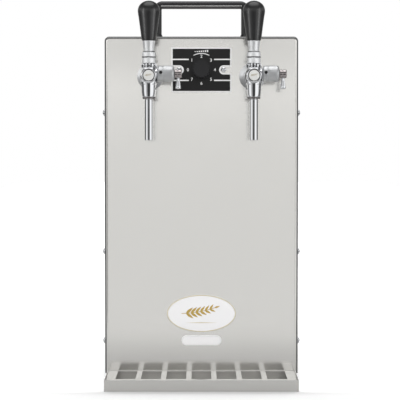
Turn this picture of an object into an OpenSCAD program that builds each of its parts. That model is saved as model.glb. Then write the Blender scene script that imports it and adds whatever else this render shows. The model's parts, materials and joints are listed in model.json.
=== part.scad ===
// Two-tap counter-top beer cooler: a steel cabinet with a cooling unit inside,
// two lever taps on its front, a thermostat dial, a carry handle and a drip tray.
// Millimetres. +Z is up, the table is at z = 0, and the taps face -Y.

/* [Cabinet] */
// Width of the cabinet
cab_w = 280; // [260:1:340]
// Depth of the cabinet, front face to rear face
cab_d = 400; // [380:1:480]
// Height of the cabinet above its feet
cab_h = 488; // [470:1:560]
// Thickness of the sheet steel
sheet_t = 1.2; // [0.8:0.1:1.6]
// Outer radius of the cabinet's top corners, seen from the front
corner_r = 7; // [6:0.5:12]
// Outer radius of the bend round the front panel
bend_r = 4.5; // [3:0.5:5]
// Depth of the front panel's returns
panel_return = 18; // [16:1:26]
// Width of the doubler strip that joins the wrapper to the front panel
doubler_w = 26; // [24:1:40]
// Height of the base pan's turned-up edges
pan_edge = 22; // [14:1:28]
// Gap between the front panel's returns and the wrapper
seam_gap = 0.4; // [0.2:0.1:1]
// Depth of the rear panel's flanges
rear_flange = 20; // [18:1:28]

/* [Feet] */
// Height of the rubber feet
foot_h = 12; // [9:1:18]
// Diameter of a foot at the cabinet
foot_d = 32; // [26:1:40]
// Diameter of a foot at the table
foot_tip_d = 26; // [20:1:26]
// Foot centre to the cabinet's side
foot_inset_x = 34; // [28:1:45]
// Foot centre to the cabinet's front or rear
foot_inset_y = 40; // [34:1:60]
// Diameter of a foot screw
foot_screw_d = 5; // [4:0.5:6]

/* [Side screws] */
// Heights of the side screws above the table
side_screw_z = [59, 189, 390];
// Diameter of a side screw's button head
side_head_d = 9.5; // [8:0.5:11]
// Height of a side screw's button head
side_head_h = 3.2; // [2:0.1:4]
// Diameter of a side screw's thread
side_thread_d = 5; // [4:0.5:6]
// Length of a side screw's thread
side_thread_l = 10; // [8:1:14]
// Screw centre to the cabinet's front or rear edge
side_screw_inset = 11; // [10:0.5:12]

/* [Carry handle] */
// Clear width between the legs of the handle
handle_span = 122; // [100:1:150]
// Height of the handle above the cabinet
handle_h = 63; // [50:1:75]
// Diameter of the handle's bar
handle_d = 12; // [10:1:16]
// Inner radius of the handle's corners
handle_corner_r = 1; // [1:0.5:15]
// Distance of the handle behind the front panel
handle_back = 150; // [130:1:250]
// Diameter of the tapered foot on each leg
handle_foot_d = 24; // [20:1:30]
// Height of the tapered foot on each leg
handle_foot_t = 12; // [6:0.5:16]
// Diameter of the screws that hold the handle
handle_screw_d = 5; // [4:0.5:6]
// Length of the handle screws inside the legs
handle_screw_l = 20; // [14:1:26]

/* [Control plate] */
// Width of the control plate
plate_w = 87; // [78:1:92]
// Height of the control plate
plate_h = 65; // [58:1:75]
// Thickness of the control plate
plate_t = 0.8; // [0.5:0.1:1.5]
// Centre of the dial below the cabinet's top
dial_drop = 48.3; // [44:0.1:60]
// Height of the notches at the plate's sides
notch_h = 13.3; // [11:0.1:16]
// Distance of a notch's round end from the dial
notch_reach = 25.4; // [24:0.1:28]
// Distance of the thermostat screws from the dial
dial_screw_x = 32; // [30:0.5:34]
// Head diameter of the thermostat screws
dial_screw_head_d = 7.5; // [6:0.5:9]
// Head height of the thermostat screws
dial_screw_head_h = 2.2; // [1.5:0.1:3]
// Thread diameter of the thermostat screws
dial_screw_d = 4; // [3:0.5:4.5]
// Diameter of the knob
knob_d = 28.6; // [24:0.2:34]
// Height of the knob's skirt and grip together
knob_h = 16; // [12:0.5:20]
// Height of the knob's skirt
knob_skirt_h = 4; // [3:0.5:5]
// Number of flutes round the knob
knob_flutes = 18; // [12:1:24]
// Diameter of the thermostat's shaft
dial_shaft_d = 6; // [5:0.5:8]
// Gap between the knob and the plate
knob_gap = 0.6; // [0.4:0.1:1.2]
// Thermostat housing: width, depth and height
dial_box = [44, 28, 40];

/* [Badges] */
// Width of the oval badge
badge_w = 100; // [80:1:120]
// Height of the oval badge
badge_h = 54; // [44:1:64]
// Height of the oval badge's centre above the table
badge_z = 99.4; // [98:0.1:130]
// Thickness of the badges
badge_t = 1; // [0.6:0.1:2]
// Width of the pill-shaped label
label_w = 58; // [46:1:70]
// Height of the pill-shaped label
label_h = 14.5; // [12:0.5:18]
// Height of the label's centre above the table
label_z = 60.2; // [50:0.1:62]

/* [Taps] */
// Distance between the two taps
tap_spacing = 147; // [140:1:156]
// Tap axis to the front panel
tap_reach = 65; // [60:1:80]
// Shank axis below the cabinet's top
tap_drop = 58; // [52:1:70]
// Diameter of the tap's ball
ball_d = 25; // [25:0.5:28]
// Centre of the ball below the shank axis
ball_drop = 1; // [0.5:0.5:2]
// Diameter of the neck under the bonnet
neck_d = 18; // [17.6:0.2:19]
// Height of the bonnet's seat above the shank axis
bonnet_seat = 14; // [13:0.5:15]
// Diameter of the bonnet and of the lever's collar
collar_d = 19.5; // [19:0.5:21]
// Diameter of the round boss that carries the valve
boss_d = 22; // [20:0.5:22]
// Tap axis to the rear end of the boss
boss_reach = 22; // [20:0.5:26]
// Diameter of the lower body at the ball
body_top_d = 23; // [22:0.5:25]
// Diameter of the lower body at its waist
body_waist_d = 21.2; // [19:0.2:22]
// Diameter of the lower body at its mouth
body_mouth_d = 16.8; // [16.6:0.2:18]
// Mouth of the lower body below the shank axis
body_drop = 33.5; // [32:0.5:38]
// Outer diameter of the spout tube
spout_d = 12; // [10:0.5:13]
// Wall of the spout tube
spout_wall = 1; // [0.8:0.1:1.5]
// Length of the spout below the lower body
spout_len = 58; // [40:1:80]
// Depth of the spout's socket
spout_socket = 8; // [6:0.5:10]
// Diameter of the front cap
cap_d = 22; // [21:0.2:24]
// Thickness of the front cap
cap_t = 4.5; // [3.5:0.5:6]
// Diameter of the disc let into the front cap
cap_disc_d = 16; // [12:0.5:18]
// Diameter of the rosette on the panel
rosette_d = 38; // [34:1:44]
// Thickness of the rosette
rosette_t = 7; // [6:0.5:9]
// Diameter of the threaded shank
shank_d = 18; // [16:0.5:20]
// Length of the shank behind the panel
shank_tail = 40; // [30:1:48]
// Bore of the shank
shank_bore = 9; // [7:0.5:10]
// Width across the lock nut's corners
nut_d = 30; // [27:0.5:34]
// Thickness of the lock nut
nut_t = 7; // [5:0.5:9]

/* [Tap levers] */
// Pivot of the lever above the bonnet's seat
pivot_rise = 2; // [2:0.5:3]
// Radius of the bonnet's dome about the pivot
dome_r = 12.8; // [12.4:0.1:13.2]
// Gap between the dome and the lever's cup
cup_gap = 0.3; // [0.25:0.05:0.5]
// Forward travel of the lever in degrees
lever_travel = 30; // [20:1:30]
// Diameter of the lever's ball
lever_ball_d = 13; // [12:0.2:13]
// Diameter of the lever's rod
lever_rod_d = 7; // [6:0.5:7.5]
// Diameter of the arm under the lever's ball
arm_d = 5; // [4:0.5:5]
// Diameter of the arm's tip
arm_tip_d = 3.4; // [3:0.2:3.6]
// Length of the arm with its tip, from the pivot
arm_len = 18; // [17:0.5:18]
// Length of the thicker part of the arm, from the pivot
arm_root = 10; // [9:0.5:10]
// Height of the lever's collar top above the shank axis
collar_top = 32; // [30:0.5:36]
// Height of the ferrule above the collar
ferrule_h = 16; // [12:0.5:20]
// Smallest diameter of the ferrule
ferrule_waist_d = 14.8; // [12:0.2:16]
// Diameter of the ferrule at the grip
ferrule_top_d = 17.8; // [16.6:0.2:18]
// Length of the grip
grip_h = 56; // [50:1:70]
// Diameter of the grip at its foot
grip_foot_d = 20; // [18:0.5:22]
// Diameter of the grip's round head
grip_head_d = 31.4; // [28:0.2:34]
// Diameter of the stud inside the grip
stud_d = 8; // [6:0.5:9]
// Length of the stud inside the grip
stud_l = 14; // [10:1:18]
// Diameter of the pivot pin
pivot_pin_d = 3; // [2.5:0.1:3.2]

/* [Valves] */
// Diameter of the valve shaft
valve_d = 8; // [7.6:0.2:8.4]
// Width of the slot across the valve shaft
valve_slot_w = 4.2; // [4.2:0.1:4.6]
// Length of the slot across the valve shaft
valve_slot_l = 7.4; // [7.2:0.1:8]
// Diameter of the valve's rubber head
valve_head_d = 11; // [10:0.2:12]
// Thickness of the valve's rubber head
valve_head_t = 4; // [3:0.5:5]
// Running gap of shafts in their bores
run_gap = 0.05; // [0.03:0.01:0.08]
// Loose gap between pieces that only slip together
slip_gap = 0.3; // [0.2:0.05:0.4]

/* [Flow regulators] */
// Diameter of the regulator barrel
barrel_d = 23; // [21:0.5:25]
// Length of the regulator barrel
barrel_l = 23; // [18:0.5:26]
// Height of the barrel above the shank axis
barrel_rise = 1.6; // [0:0.1:2.5]
// Gap between the ball and the regulator barrel
barrel_gap = 0.2; // [0.1:0.1:1]
// Diameter of the regulator lever's hub
hub_d = 12; // [10:0.5:14]
// Length of the regulator lever's hub
hub_l = 10; // [8:0.5:12]
// Diameter of the regulator lever's spindle
spindle_d = 6; // [5:0.5:7]
// Length of the regulator lever below its hub axis
paddle_l = 21.5; // [16:0.5:24]
// Diameter of the regulator lever's flared end
paddle_d = 8; // [7:0.5:9.5]
// Diameter of the regulator lever's neck
paddle_neck_d = 4.6; // [4:0.2:6]

/* [Cooling unit] */
// Height of the shelf that carries the cooling block
shelf_z = 262; // [250:1:275]
// Depth of the shelf's turned-down edges
shelf_edge = 14; // [10:1:20]
// Cooling block: width, depth and height
block_size = [150, 86, 140];
// Wall of the insulation round the cooling block
foam_wall = 25; // [20:1:28]
// Insulation behind the front panel
foam_back = 66; // [62:1:80]
// Diameter of the beer tubes
tube_d = 9.5; // [8:0.1:10]
// Diameter of the compressor's pot
pot_d = 150; // [130:1:156]
// Height of the compressor's pot
pot_h = 165; // [140:1:175]
// Compressor centre left of the middle
pot_x = 48; // [44:1:54]
// Compressor centre behind the front panel
pot_back = 112; // [104:1:125]
// Height of the compressor's rubber mounts
mount_h = 14; // [10:1:18]
// Distance between the compressor's mounts
mount_pitch = 118; // [110:1:130]
// Room beside the condenser, from the cabinet's side
coil_side = 35; // [32:1:44]
// Depth of the condenser
coil_d = 36; // [30:1:40]
// Height of the condenser
coil_h = 200; // [180:1:210]
// Condenser in front of the rear face
coil_inset = 30; // [26:1:36]
// Number of fins on the condenser
fin_count = 26; // [16:1:32]
// Thickness of a fin
fin_t = 1; // [0.6:0.1:1.4]
// Diameter of the condenser's tubes
coil_tube_d = 8; // [6:0.5:10]
// Diameter of the fan blades
fan_d = 158; // [140:1:170]
// Depth of the fan's shroud
shroud_depth = 22; // [18:1:28]
// Number of fan blades
blade_count = 5; // [3:1:7]
// Pitch of the fan blades in degrees
blade_pitch = 28; // [20:1:32]
// Diameter of the fan's hub
fan_hub_d = 44; // [36:1:50]
// Diameter of the fan motor
motor_d = 62; // [50:1:70]
// Length of the fan motor
motor_l = 40; // [34:1:44]
// Diameter of the refrigerant pipes
pipe_d = 6; // [5:0.5:8]
// Diameter of the filter drier
drier_d = 26; // [20:1:32]
// Length of the filter drier's barrel
drier_l = 80; // [60:1:90]

/* [Rear fittings] */
// Reach of the rear fittings behind the cabinet
rear_reach = 30; // [26:1:40]
// Distance between the beer inlets
inlet_spacing = 60; // [48:1:80]
// Height of the beer inlets above the table
inlet_z = 380; // [360:1:395]
// Diameter of a beer inlet's collar
inlet_d = 22; // [18:0.5:26]
// Depth of the tube socket in a beer inlet
inlet_depth = 18; // [14:1:20]
// Gap round the tube in a beer inlet
inlet_gap = 0.1; // [0.06:0.02:0.3]
// Diameter of the cable gland
gland_d = 20; // [16:1:24]
// Reach of the cable gland behind the cabinet
gland_reach = 24; // [18:1:26]
// Hole for the cable in the gland
gland_bore = 7; // [6:0.5:9]
// Height of the cable gland above the table
gland_z = 300; // [285:1:320]
// Cable gland in from the cabinet's left side
gland_inset = 45; // [34:1:60]
// Number of vent slots in a column
vent_count = 11; // [8:1:12]
// Height of a vent slot
vent_h = 6; // [4:0.5:8]
// Vent slots, centre to centre
vent_pitch = 16; // [14:0.5:18]
// Length of a vent slot
vent_l = 88; // [60:1:92]
// Space between the two columns of vent slots
vent_bridge = 18; // [14:1:30]

/* [Drip tray] */
// Reach of the tray in front of the panel
tray_reach = 90; // [80:1:120]
// Tray set in from the cabinet's sides
tray_inset = 4; // [1:0.5:12]
// Height of the tray
tray_h = 16.2; // [15:0.2:24]
// Thickness of the tray's sheet
tray_t = 1.2; // [0.8:0.1:1.6]
// Length of the tongue under the cabinet
tongue_l = 56; // [46:1:70]
// Gap between the tray and the panel
tray_gap = 0.8; // [0.5:0.1:2]
// Number of slots in the grate
slot_count = 7; // [5:1:9]
// Width of the bars between the slots
bar_w = 7.5; // [6:0.5:10]
// Border at each end of the grate
grate_end = 13.5; // [11:0.5:18]
// Border at the front of the grate
grate_front = 8.5; // [7.5:0.5:16]
// Border at the rear of the grate
grate_rear = 2.2; // [2.2:0.2:8]
// Diameter of the finger notch in the grate
finger_d = 24; // [20:1:26]
// Thickness of the grate's sheet
grate_t = 1.5; // [1:0.1:2]
// Gap between the grate and the tray
grate_gap = 0.8; // [0.4:0.1:1]

/* [Hidden] */
$fn = 64;

steel = [0.78, 0.78, 0.76];
chrome = [0.86, 0.87, 0.89];
black = [0.08, 0.08, 0.09];
white = [0.94, 0.93, 0.90];
rubber = [0.16, 0.16, 0.16];
copper = [0.72, 0.45, 0.30];
foam = [0.90, 0.90, 0.86];
alloy = [0.70, 0.71, 0.72];
brass = [0.70, 0.58, 0.34];

// Extra depth that makes a cut pass right through a wall
cut = 1;
half = cab_w / 2;
front_y = -(cab_d + rear_reach - tray_reach) / 2;
rear_y = front_y + cab_d;
floor_z = foot_h;
top_z = foot_h + cab_h;
inner_half = half - sheet_t;
pan_top = floor_z + sheet_t;
screw_hole_d = side_thread_d + 2 * slip_gap;
tap_y = front_y - tap_reach;
tap_z = top_z - tap_drop;
dial_z = top_z - dial_drop;
coil_size = [cab_w - 2 * coil_side, coil_d, coil_h];
gland_x = half - gland_inset;
tray_w = cab_w - 2 * tray_inset;

// Helpers

// Points along an arc about a centre, from one angle to another
function arc(centre, r, from, to, steps) =
    [for (i = [0 : steps]) let (a = from + (to - from) * i / steps) centre + r * [cos(a), sin(a)]];

// Outline of a pill: a bar with round ends
function pill(w, h) = concat(
    arc([(w - h) / 2, 0], h / 2, -90, 90, pill_steps),
    arc([(h - w) / 2, 0], h / 2, 90, 270, pill_steps)
);
pill_steps = 16;

// Outline of an ellipse
function oval(w, h) = [for (i = [0 : oval_steps - 1]) let (a = 360 * i / oval_steps)
    [w / 2 * cos(a), h / 2 * sin(a)]];
oval_steps = 72;

// Turn what is drawn along +Z to the rear, the front, the right or the left
module to_rear() rotate([-90, 0, 0]) children();
module to_front() rotate([90, 0, 0]) children();
module to_right() rotate([0, 90, 0]) children();
module both_sides() {
    children();
    mirror([1, 0, 0]) children();
}

// A quarter of a round bend between +X and +Y, drawn flat
module quarter_ring(outer, inner) intersection() {
    difference() {
        circle(outer);
        circle(inner);
    }
    square(outer);
}

// Sheet bent over two sides and a top, with round corners, from y0 over a length
module arch_sheet(reach, low, high, r, t, y0, length) {
    both_sides() {
        translate([reach - t, y0, low]) cube([t, length, high - r - low]);
        translate([reach - r, y0 + length, high - r]) to_front()
            linear_extrude(length) quarter_ring(r, r - t);
    }
    translate([r - reach, y0, high - t]) cube([2 * (reach - r), length, t]);
}

// Flat plate that closes such an arch
module arch_plate(reach, low, high, r, t, y0) {
    translate([-reach, y0, low]) cube([2 * reach, t, high - r - low]);
    translate([r - reach, y0, high - r]) cube([2 * (reach - r), t, r]);
    both_sides() translate([reach - r, y0, high - r]) to_rear() rotate([0, 0, -90])
        rotate_extrude(angle = 90) square([r, t]);
}

// Radius of the sphere that rises by a height over a disc of a given diameter
function cap_radius(d, h) = (d * d / 4 + h * h) / (2 * h);

// Button heads: straight edge as a share of the height, socket as a share of the diameter
head_edge = 0.2;
head_socket = 0.36;

// Screw along +Z with its domed head above z = 0, its thread below and a hexagon socket
module button_screw(head_d, head_h, thread_d, thread_l) difference() {
    head_r = cap_radius(head_d, head_h * (1 - head_edge));
    union() {
        intersection() {
            cylinder(h = head_h + cut, d = head_d);
            translate([0, 0, head_h - head_r]) sphere(r = head_r);
        }
        translate([0, 0, -thread_l]) cylinder(h = thread_l + head_h * head_edge, d = thread_d);
    }
    translate([0, 0, head_h / 2]) cylinder(h = head_h, d = head_d * head_socket, $fn = 6);
}

// Cabinet

// Places children at the four feet
module at_feet() for (x = [-1, 1], y = [front_y + foot_inset_y, rear_y - foot_inset_y])
    translate([x * (half - foot_inset_x), y, 0]) children();

pan_half = half - 2 * sheet_t;
// Proportions of a rubber foot: its recess, its screw's head and its straight wall
foot_recess_d = foot_screw_d * 2.4;
foot_recess_h = foot_h * 0.45;
foot_head_h = foot_h * 0.25;
foot_wall_z = foot_h * 0.7;
at_mounts_y = front_y + pot_back;

module at_mounts() for (x = [-1, 1], y = [-1, 1])
    translate([x * mount_pitch / 2 - pot_x, at_mounts_y + y * mount_pitch / 2, pan_top]) children();

pan_front = front_y + bend_r;
pan_depth = rear_y - sheet_t - pan_front;

// Base pan, clear of the front panel's bends
module base_pan() color(steel) difference() {
    translate([-pan_half, pan_front, floor_z]) cube([2 * pan_half, pan_depth, pan_edge]);
    translate([-pan_half + sheet_t, pan_front + sheet_t, pan_top])
        cube([2 * (pan_half - sheet_t), pan_depth - 2 * sheet_t, pan_edge]);
    at_feet() translate([0, 0, floor_z - cut])
        cylinder(h = sheet_t + 2 * cut, d = foot_screw_d + 2 * run_gap);
}

module rubber_feet() color(rubber) at_feet() rotate_extrude() polygon([
    [foot_screw_d / 2 + run_gap, foot_h], [foot_d / 2, foot_h], [foot_d / 2, foot_wall_z],
    [foot_tip_d / 2, 0], [foot_recess_d / 2, 0], [foot_recess_d / 2, foot_recess_h],
    [foot_screw_d / 2 + run_gap, foot_recess_h],
]);

module foot_screws() color(steel) at_feet() translate([0, 0, foot_recess_h]) rotate([180, 0, 0])
    button_screw(foot_screw_d * 2, foot_head_h, foot_screw_d, foot_h - foot_recess_h + sheet_t - slip_gap);

// Places children at each side screw, with +Z pointing out of the cabinet
module at_side_screws() for (s = [-1, 1], z = side_screw_z,
        y = [front_y + side_screw_inset, rear_y - side_screw_inset])
    translate([s * half, y, z]) rotate([0, s * 90, 0]) children();

module side_screw_holes() at_side_screws() translate([0, 0, -3 * sheet_t - cut])
    cylinder(h = 3 * sheet_t + 2 * cut, d = screw_hole_d);

// Places children where the taps pass through the panel
module at_taps() for (s = [-1, 1]) translate([s * tap_spacing / 2, tap_y, tap_z]) children();

// Wall of a threaded neck, and how far one is set in from its flange
neck_wall = 2.5;
neck_step = 3;
dial_neck_d = dial_shaft_d + 2 * neck_wall;
corner_flat = corner_r - bend_r;

// Front panel: a shallow pan with a round bend along its sides and top
module front_panel() color(steel) difference() {
    union() {
        translate([bend_r - half, front_y, floor_z])
            cube([2 * (half - bend_r), sheet_t, cab_h - corner_r]);
        translate([corner_r - half, front_y, top_z - corner_r])
            cube([2 * (half - corner_r), sheet_t, corner_flat]);
        both_sides() {
            translate([half - bend_r, front_y + bend_r, floor_z]) linear_extrude(cab_h - corner_r)
                mirror([0, 1]) quarter_ring(bend_r, bend_r - sheet_t);
            translate([half - sheet_t, front_y + bend_r, floor_z])
                cube([sheet_t, panel_return - bend_r, cab_h - corner_r]);
            translate([half - corner_r, front_y, top_z - corner_r]) to_rear() rotate([0, 0, -90])
                panel_corner();
        }
        translate([corner_r - half, front_y + bend_r, top_z - bend_r]) rotate([90, 0, 90])
            linear_extrude(2 * (half - corner_r)) mirror([1, 0]) quarter_ring(bend_r, bend_r - sheet_t);
        translate([corner_r - half, front_y + bend_r, top_z - sheet_t])
            cube([2 * (half - corner_r), panel_return - bend_r, sheet_t]);
    }
    at_taps() to_rear() cylinder(h = tap_reach + sheet_t + cut, d = shank_d + 2 * slip_gap);
    translate([0, front_y - cut, dial_z]) to_rear()
        cylinder(h = sheet_t + 2 * cut, d = dial_neck_d + 2 * slip_gap);
    at_dial_screws() translate([0, 0, -sheet_t - cut])
        cylinder(h = sheet_t + 2 * cut, d = dial_screw_d + 2 * slip_gap);
    side_screw_holes();
}

// One rounded top corner of the front panel, as a quarter turn
module panel_corner() {
    rotate_extrude(angle = 90) square([corner_flat, sheet_t]);
    rotate_extrude(angle = 90) translate([corner_flat, bend_r]) mirror([0, 1])
        quarter_ring(bend_r, bend_r - sheet_t);
    rotate_extrude(angle = 90) translate([corner_r - sheet_t, bend_r])
        square([sheet_t, panel_return - bend_r]);
}

doubler_y = front_y + bend_r + seam_gap;
wrapper_y = front_y + panel_return + seam_gap;
handle_y = front_y + handle_back;
handle_half = (handle_span + handle_d) / 2;

// Places children at the foot of each leg of the handle
module at_handle_legs() for (s = [-1, 1]) translate([s * handle_half, handle_y, top_z]) children();

module cabinet_wrapper() color(steel) difference() {
    union() {
        arch_sheet(half, floor_z, top_z, corner_r, sheet_t, wrapper_y, rear_y - wrapper_y);
        arch_sheet(inner_half, floor_z, top_z - sheet_t, corner_r - sheet_t, sheet_t, doubler_y, doubler_w);
    }
    at_handle_legs() translate([0, 0, -sheet_t - cut])
        cylinder(h = sheet_t + 2 * cut, d = handle_screw_d + 2 * slip_gap);
    side_screw_holes();
}

vent_z = pan_top + pan_edge + vent_h;
gland_neck_d = gland_d - 2 * neck_step;
inlet_neck_d = inlet_d - 2 * neck_step;

module at_inlets() for (s = [-1, 1]) translate([s * inlet_spacing / 2, rear_y, inlet_z]) children();

// Rear panel with its flanges, vent slots and the holes for its fittings
module rear_panel() color(steel) difference() {
    union() {
        arch_plate(inner_half, floor_z, top_z - sheet_t, corner_r - sheet_t, sheet_t, rear_y - sheet_t);
        arch_sheet(inner_half, floor_z, top_z - sheet_t, corner_r - sheet_t, sheet_t,
            rear_y - rear_flange, rear_flange - sheet_t);
    }
    for (s = [-1, 1], i = [0 : vent_count - 1])
        translate([s * (vent_bridge + vent_l) / 2 - vent_l / 2, rear_y - sheet_t - cut,
            vent_z + i * vent_pitch]) cube([vent_l, sheet_t + 2 * cut, vent_h]);
    at_inlets() translate([0, -sheet_t - cut, 0]) to_rear()
        cylinder(h = sheet_t + 2 * cut, d = inlet_neck_d + 2 * slip_gap);
    translate([-gland_x, rear_y - sheet_t - cut, gland_z]) to_rear()
        cylinder(h = sheet_t + 2 * cut, d = gland_neck_d + 2 * slip_gap);
    side_screw_holes();
}

module side_screws() color(chrome) at_side_screws()
    button_screw(side_head_d, side_head_h, side_thread_d, side_thread_l);

handle_axis_z = top_z + handle_h - handle_d / 2;
handle_bend_r = handle_corner_r + handle_d / 2;

// Round bar bent twice, on two tapered feet
module carry_handle() color(black) difference() {
    union() {
        both_sides() {
            translate([handle_half, handle_y, top_z]) {
                cylinder(h = handle_axis_z - handle_bend_r - top_z, d = handle_d);
                cylinder(h = handle_foot_t, d1 = handle_foot_d, d2 = handle_d);
            }
            translate([handle_half - handle_bend_r, handle_y, handle_axis_z - handle_bend_r]) to_front()
                rotate_extrude(angle = 90) translate([handle_bend_r, 0]) circle(d = handle_d);
        }
        translate([handle_bend_r - handle_half, handle_y, handle_axis_z]) to_right()
            cylinder(h = 2 * (handle_half - handle_bend_r), d = handle_d);
    }
    at_handle_legs() translate([0, 0, -cut])
        cylinder(h = handle_screw_l + cut, d = handle_screw_d + 2 * run_gap);
}

handle_head_h = 3;

module handle_screws() color(steel) at_handle_legs() translate([0, 0, -sheet_t]) rotate([180, 0, 0])
    button_screw(handle_screw_d * 1.9, handle_head_h, handle_screw_d, handle_screw_l);

// Controls and badges

module at_dial_screws() for (s = [-1, 1])
    translate([s * dial_screw_x, front_y, dial_z]) to_front() children();

// Outline of one side notch: round inside, open past the plate's edge
function notch() = concat(
    arc([notch_reach + notch_h / 2, 0], notch_h / 2, 90, 270, pill_steps),
    [[plate_w / 2 + cut, -notch_h / 2], [plate_w / 2 + cut, notch_h / 2]]
);

module control_plate() color(black) translate([0, front_y, dial_z]) to_front() difference() {
    translate([-plate_w / 2, -plate_h / 2, 0]) cube([plate_w, plate_h, plate_t]);
    both_sides() translate([0, 0, -cut]) linear_extrude(plate_t + 2 * cut) polygon(notch());
    translate([0, 0, -cut]) cylinder(h = plate_t + 2 * cut, d = dial_neck_d + 2 * slip_gap);
}

knob_back = plate_t + knob_gap;
// Proportions of the knob: its fluted body and the flutes
knob_body_d = knob_d * 0.86;
flute_d = knob_body_d * 0.11;
knob_roof = 3;
flute_turn = 360 / knob_flutes;
flute_land = 0.6;
pointer_turn = 90;
pointer_w = 2;
pointer_depth = 0.8;
dial_shaft_l = knob_back + knob_h - knob_roof - slip_gap;

// Fluted knob on a round skirt, with a pointer groove towards the top
module thermostat_knob() color(black) translate([0, front_y - knob_back, dial_z]) to_front() difference() {
    union() {
        cylinder(h = knob_skirt_h, d = knob_d);
        cylinder(h = knob_h, d = knob_body_d);
    }
    for (i = [0 : knob_flutes - 1]) if (abs(i * flute_turn - pointer_turn) > flute_turn)
        rotate(i * flute_turn) translate([knob_body_d / 2, 0, knob_skirt_h + flute_land])
            cylinder(h = knob_h, d = flute_d, $fn = 24);
    translate([-pointer_w / 2, 0, knob_h - pointer_depth]) cube([pointer_w, knob_d, knob_h]);
    translate([0, 0, -cut]) cylinder(h = knob_h - knob_roof + cut, d = dial_shaft_d + 2 * run_gap);
}

ear_h = 16;
ear_t = 1.5;

// Thermostat housing with its ears, threaded neck and shaft
module thermostat_body() color(steel) translate([0, front_y, dial_z]) difference() {
    union() {
        translate([-dial_box[0] / 2, sheet_t, -dial_box[2] / 2]) cube(dial_box);
        translate([-dial_screw_x - ear_h / 2, sheet_t, -ear_h / 2])
            cube([2 * dial_screw_x + ear_h, ear_t, ear_h]);
        translate([0, sheet_t, 0]) to_front() cylinder(h = sheet_t + plate_t, d = dial_neck_d);
        translate([0, sheet_t, 0]) to_front() cylinder(h = sheet_t + dial_shaft_l, d = dial_shaft_d);
    }
    for (s = [-1, 1]) translate([s * dial_screw_x, sheet_t - cut, 0]) to_rear()
        cylinder(h = ear_t + 2 * cut, d = dial_screw_d + 2 * run_gap);
}

module thermostat_screws() color(chrome) at_dial_screws()
    button_screw(dial_screw_head_d, dial_screw_head_h, dial_screw_d, sheet_t + ear_t + dial_screw_d);

module oval_badge() color(white) translate([0, front_y, badge_z]) to_front()
    linear_extrude(badge_t) polygon(oval(badge_w, badge_h));

module pill_label() color(white) translate([0, front_y, label_z]) to_front()
    linear_extrude(badge_t) polygon(pill(label_w, label_h));

// Taps, drawn about the point where the shank's axis meets the tap's upright axis

module at_tap(side) translate([side * tap_spacing / 2, tap_y, tap_z]) children();

pivot_z = bonnet_seat + pivot_rise;
ball_socket_d = lever_ball_d + 2 * slip_gap;
// The front cap stands a little off the ball, on a boss set in from its edge
cap_stand = 0.5;
cap_boss_step = 1.4;
cap_seat = ball_d / 2 + cap_stand;
cap_boss_d = cap_d - 2 * cap_boss_step;
barrel_start = ball_d / 2 + barrel_gap;
// Proportions of the bosses and the lower body
side_boss_d = barrel_d * 0.62;
body_shoulder = ball_drop + ball_d * 0.4;
shoulder_h = 7;
waist_drop = 6;
body_waist = body_shoulder + waist_drop;
lip_h = 3.5;
lip_out = 0.9;
outlet_d = spout_d - 2 * spout_wall;
// The spout's plug is set in by part of its wall, and starts a little below the body
spout_relief = 1;
spout_plug_d = spout_d - 0.8 * spout_wall;
valve_front = 8;
// Room round the lever's arm, and below its tip
arm_slack = 0.6;
arm_end_room = 1.6;
arm_slot_w = arm_d + 2 * slip_gap + arm_slack;
arm_sweep = arm_len + arm_end_room;
// The outlet narrows above the spout, so that the spout stops there
outlet_step = 0.5;
grip_foot = collar_top + ferrule_h;

// A flat point turned about the lever's pivot
function tilted(p, angle) =
    [p[0] * cos(angle) - p[1] * sin(angle), pivot_z + p[0] * sin(angle) + p[1] * cos(angle)];

// Room that a bar through the pivot sweeps, from upright to fully forward
module swept_slot(half_w, reach, width) {
    edge = sign(reach) * half_w;
    rotate([90, 0, 90]) linear_extrude(width, center = true) polygon([
        tilted([edge, 0], 0), tilted([edge, reach], 0),
        tilted([-edge, reach], lever_travel), tilted([-edge, 0], lever_travel),
    ]);
}

// Body of the tap: neck, ball, lower body and the bosses for the valve, cap and regulator
module tap_body() color(chrome) difference() {
    union() {
        rotate_extrude() polygon([
            [0, bonnet_seat], [neck_d / 2, bonnet_seat], [neck_d / 2, 0],
            [body_top_d / 2, shoulder_h - body_shoulder], [body_top_d / 2, -body_shoulder],
            [body_waist_d / 2, -body_waist], [body_mouth_d / 2, -body_drop + lip_h],
            [body_mouth_d / 2 + lip_out, -body_drop + lip_h / 2],
            [body_mouth_d / 2 + lip_out, -body_drop], [0, -body_drop],
        ]);
        translate([0, 0, -ball_drop]) sphere(d = ball_d);
        to_rear() cylinder(h = boss_reach, d = boss_d);
        translate([0, 0, -ball_drop]) to_front() cylinder(h = cap_seat, d = cap_boss_d);
        translate([0, 0, barrel_rise]) to_right() cylinder(h = barrel_start, d = side_boss_d);
    }
    translate([0, 0, pivot_z - ball_socket_d / 2]) cylinder(h = ball_socket_d, d = ball_socket_d);
    swept_slot(arm_slot_w / 2, -arm_sweep, arm_slot_w);
    translate([0, -valve_front - slip_gap, 0]) to_rear()
        cylinder(h = valve_front + slip_gap + boss_reach + cut, d = valve_d + 2 * run_gap);
    translate([0, 0, -body_drop - cut]) cylinder(h = body_drop + cut, d = outlet_d - 2 * outlet_step);
    translate([0, 0, -body_drop - cut]) cylinder(h = spout_socket + cut, d = spout_plug_d + 2 * run_gap);
}

cap_round = 1.8;
cap_steps = 6;
disc_depth = 0.8;

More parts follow.
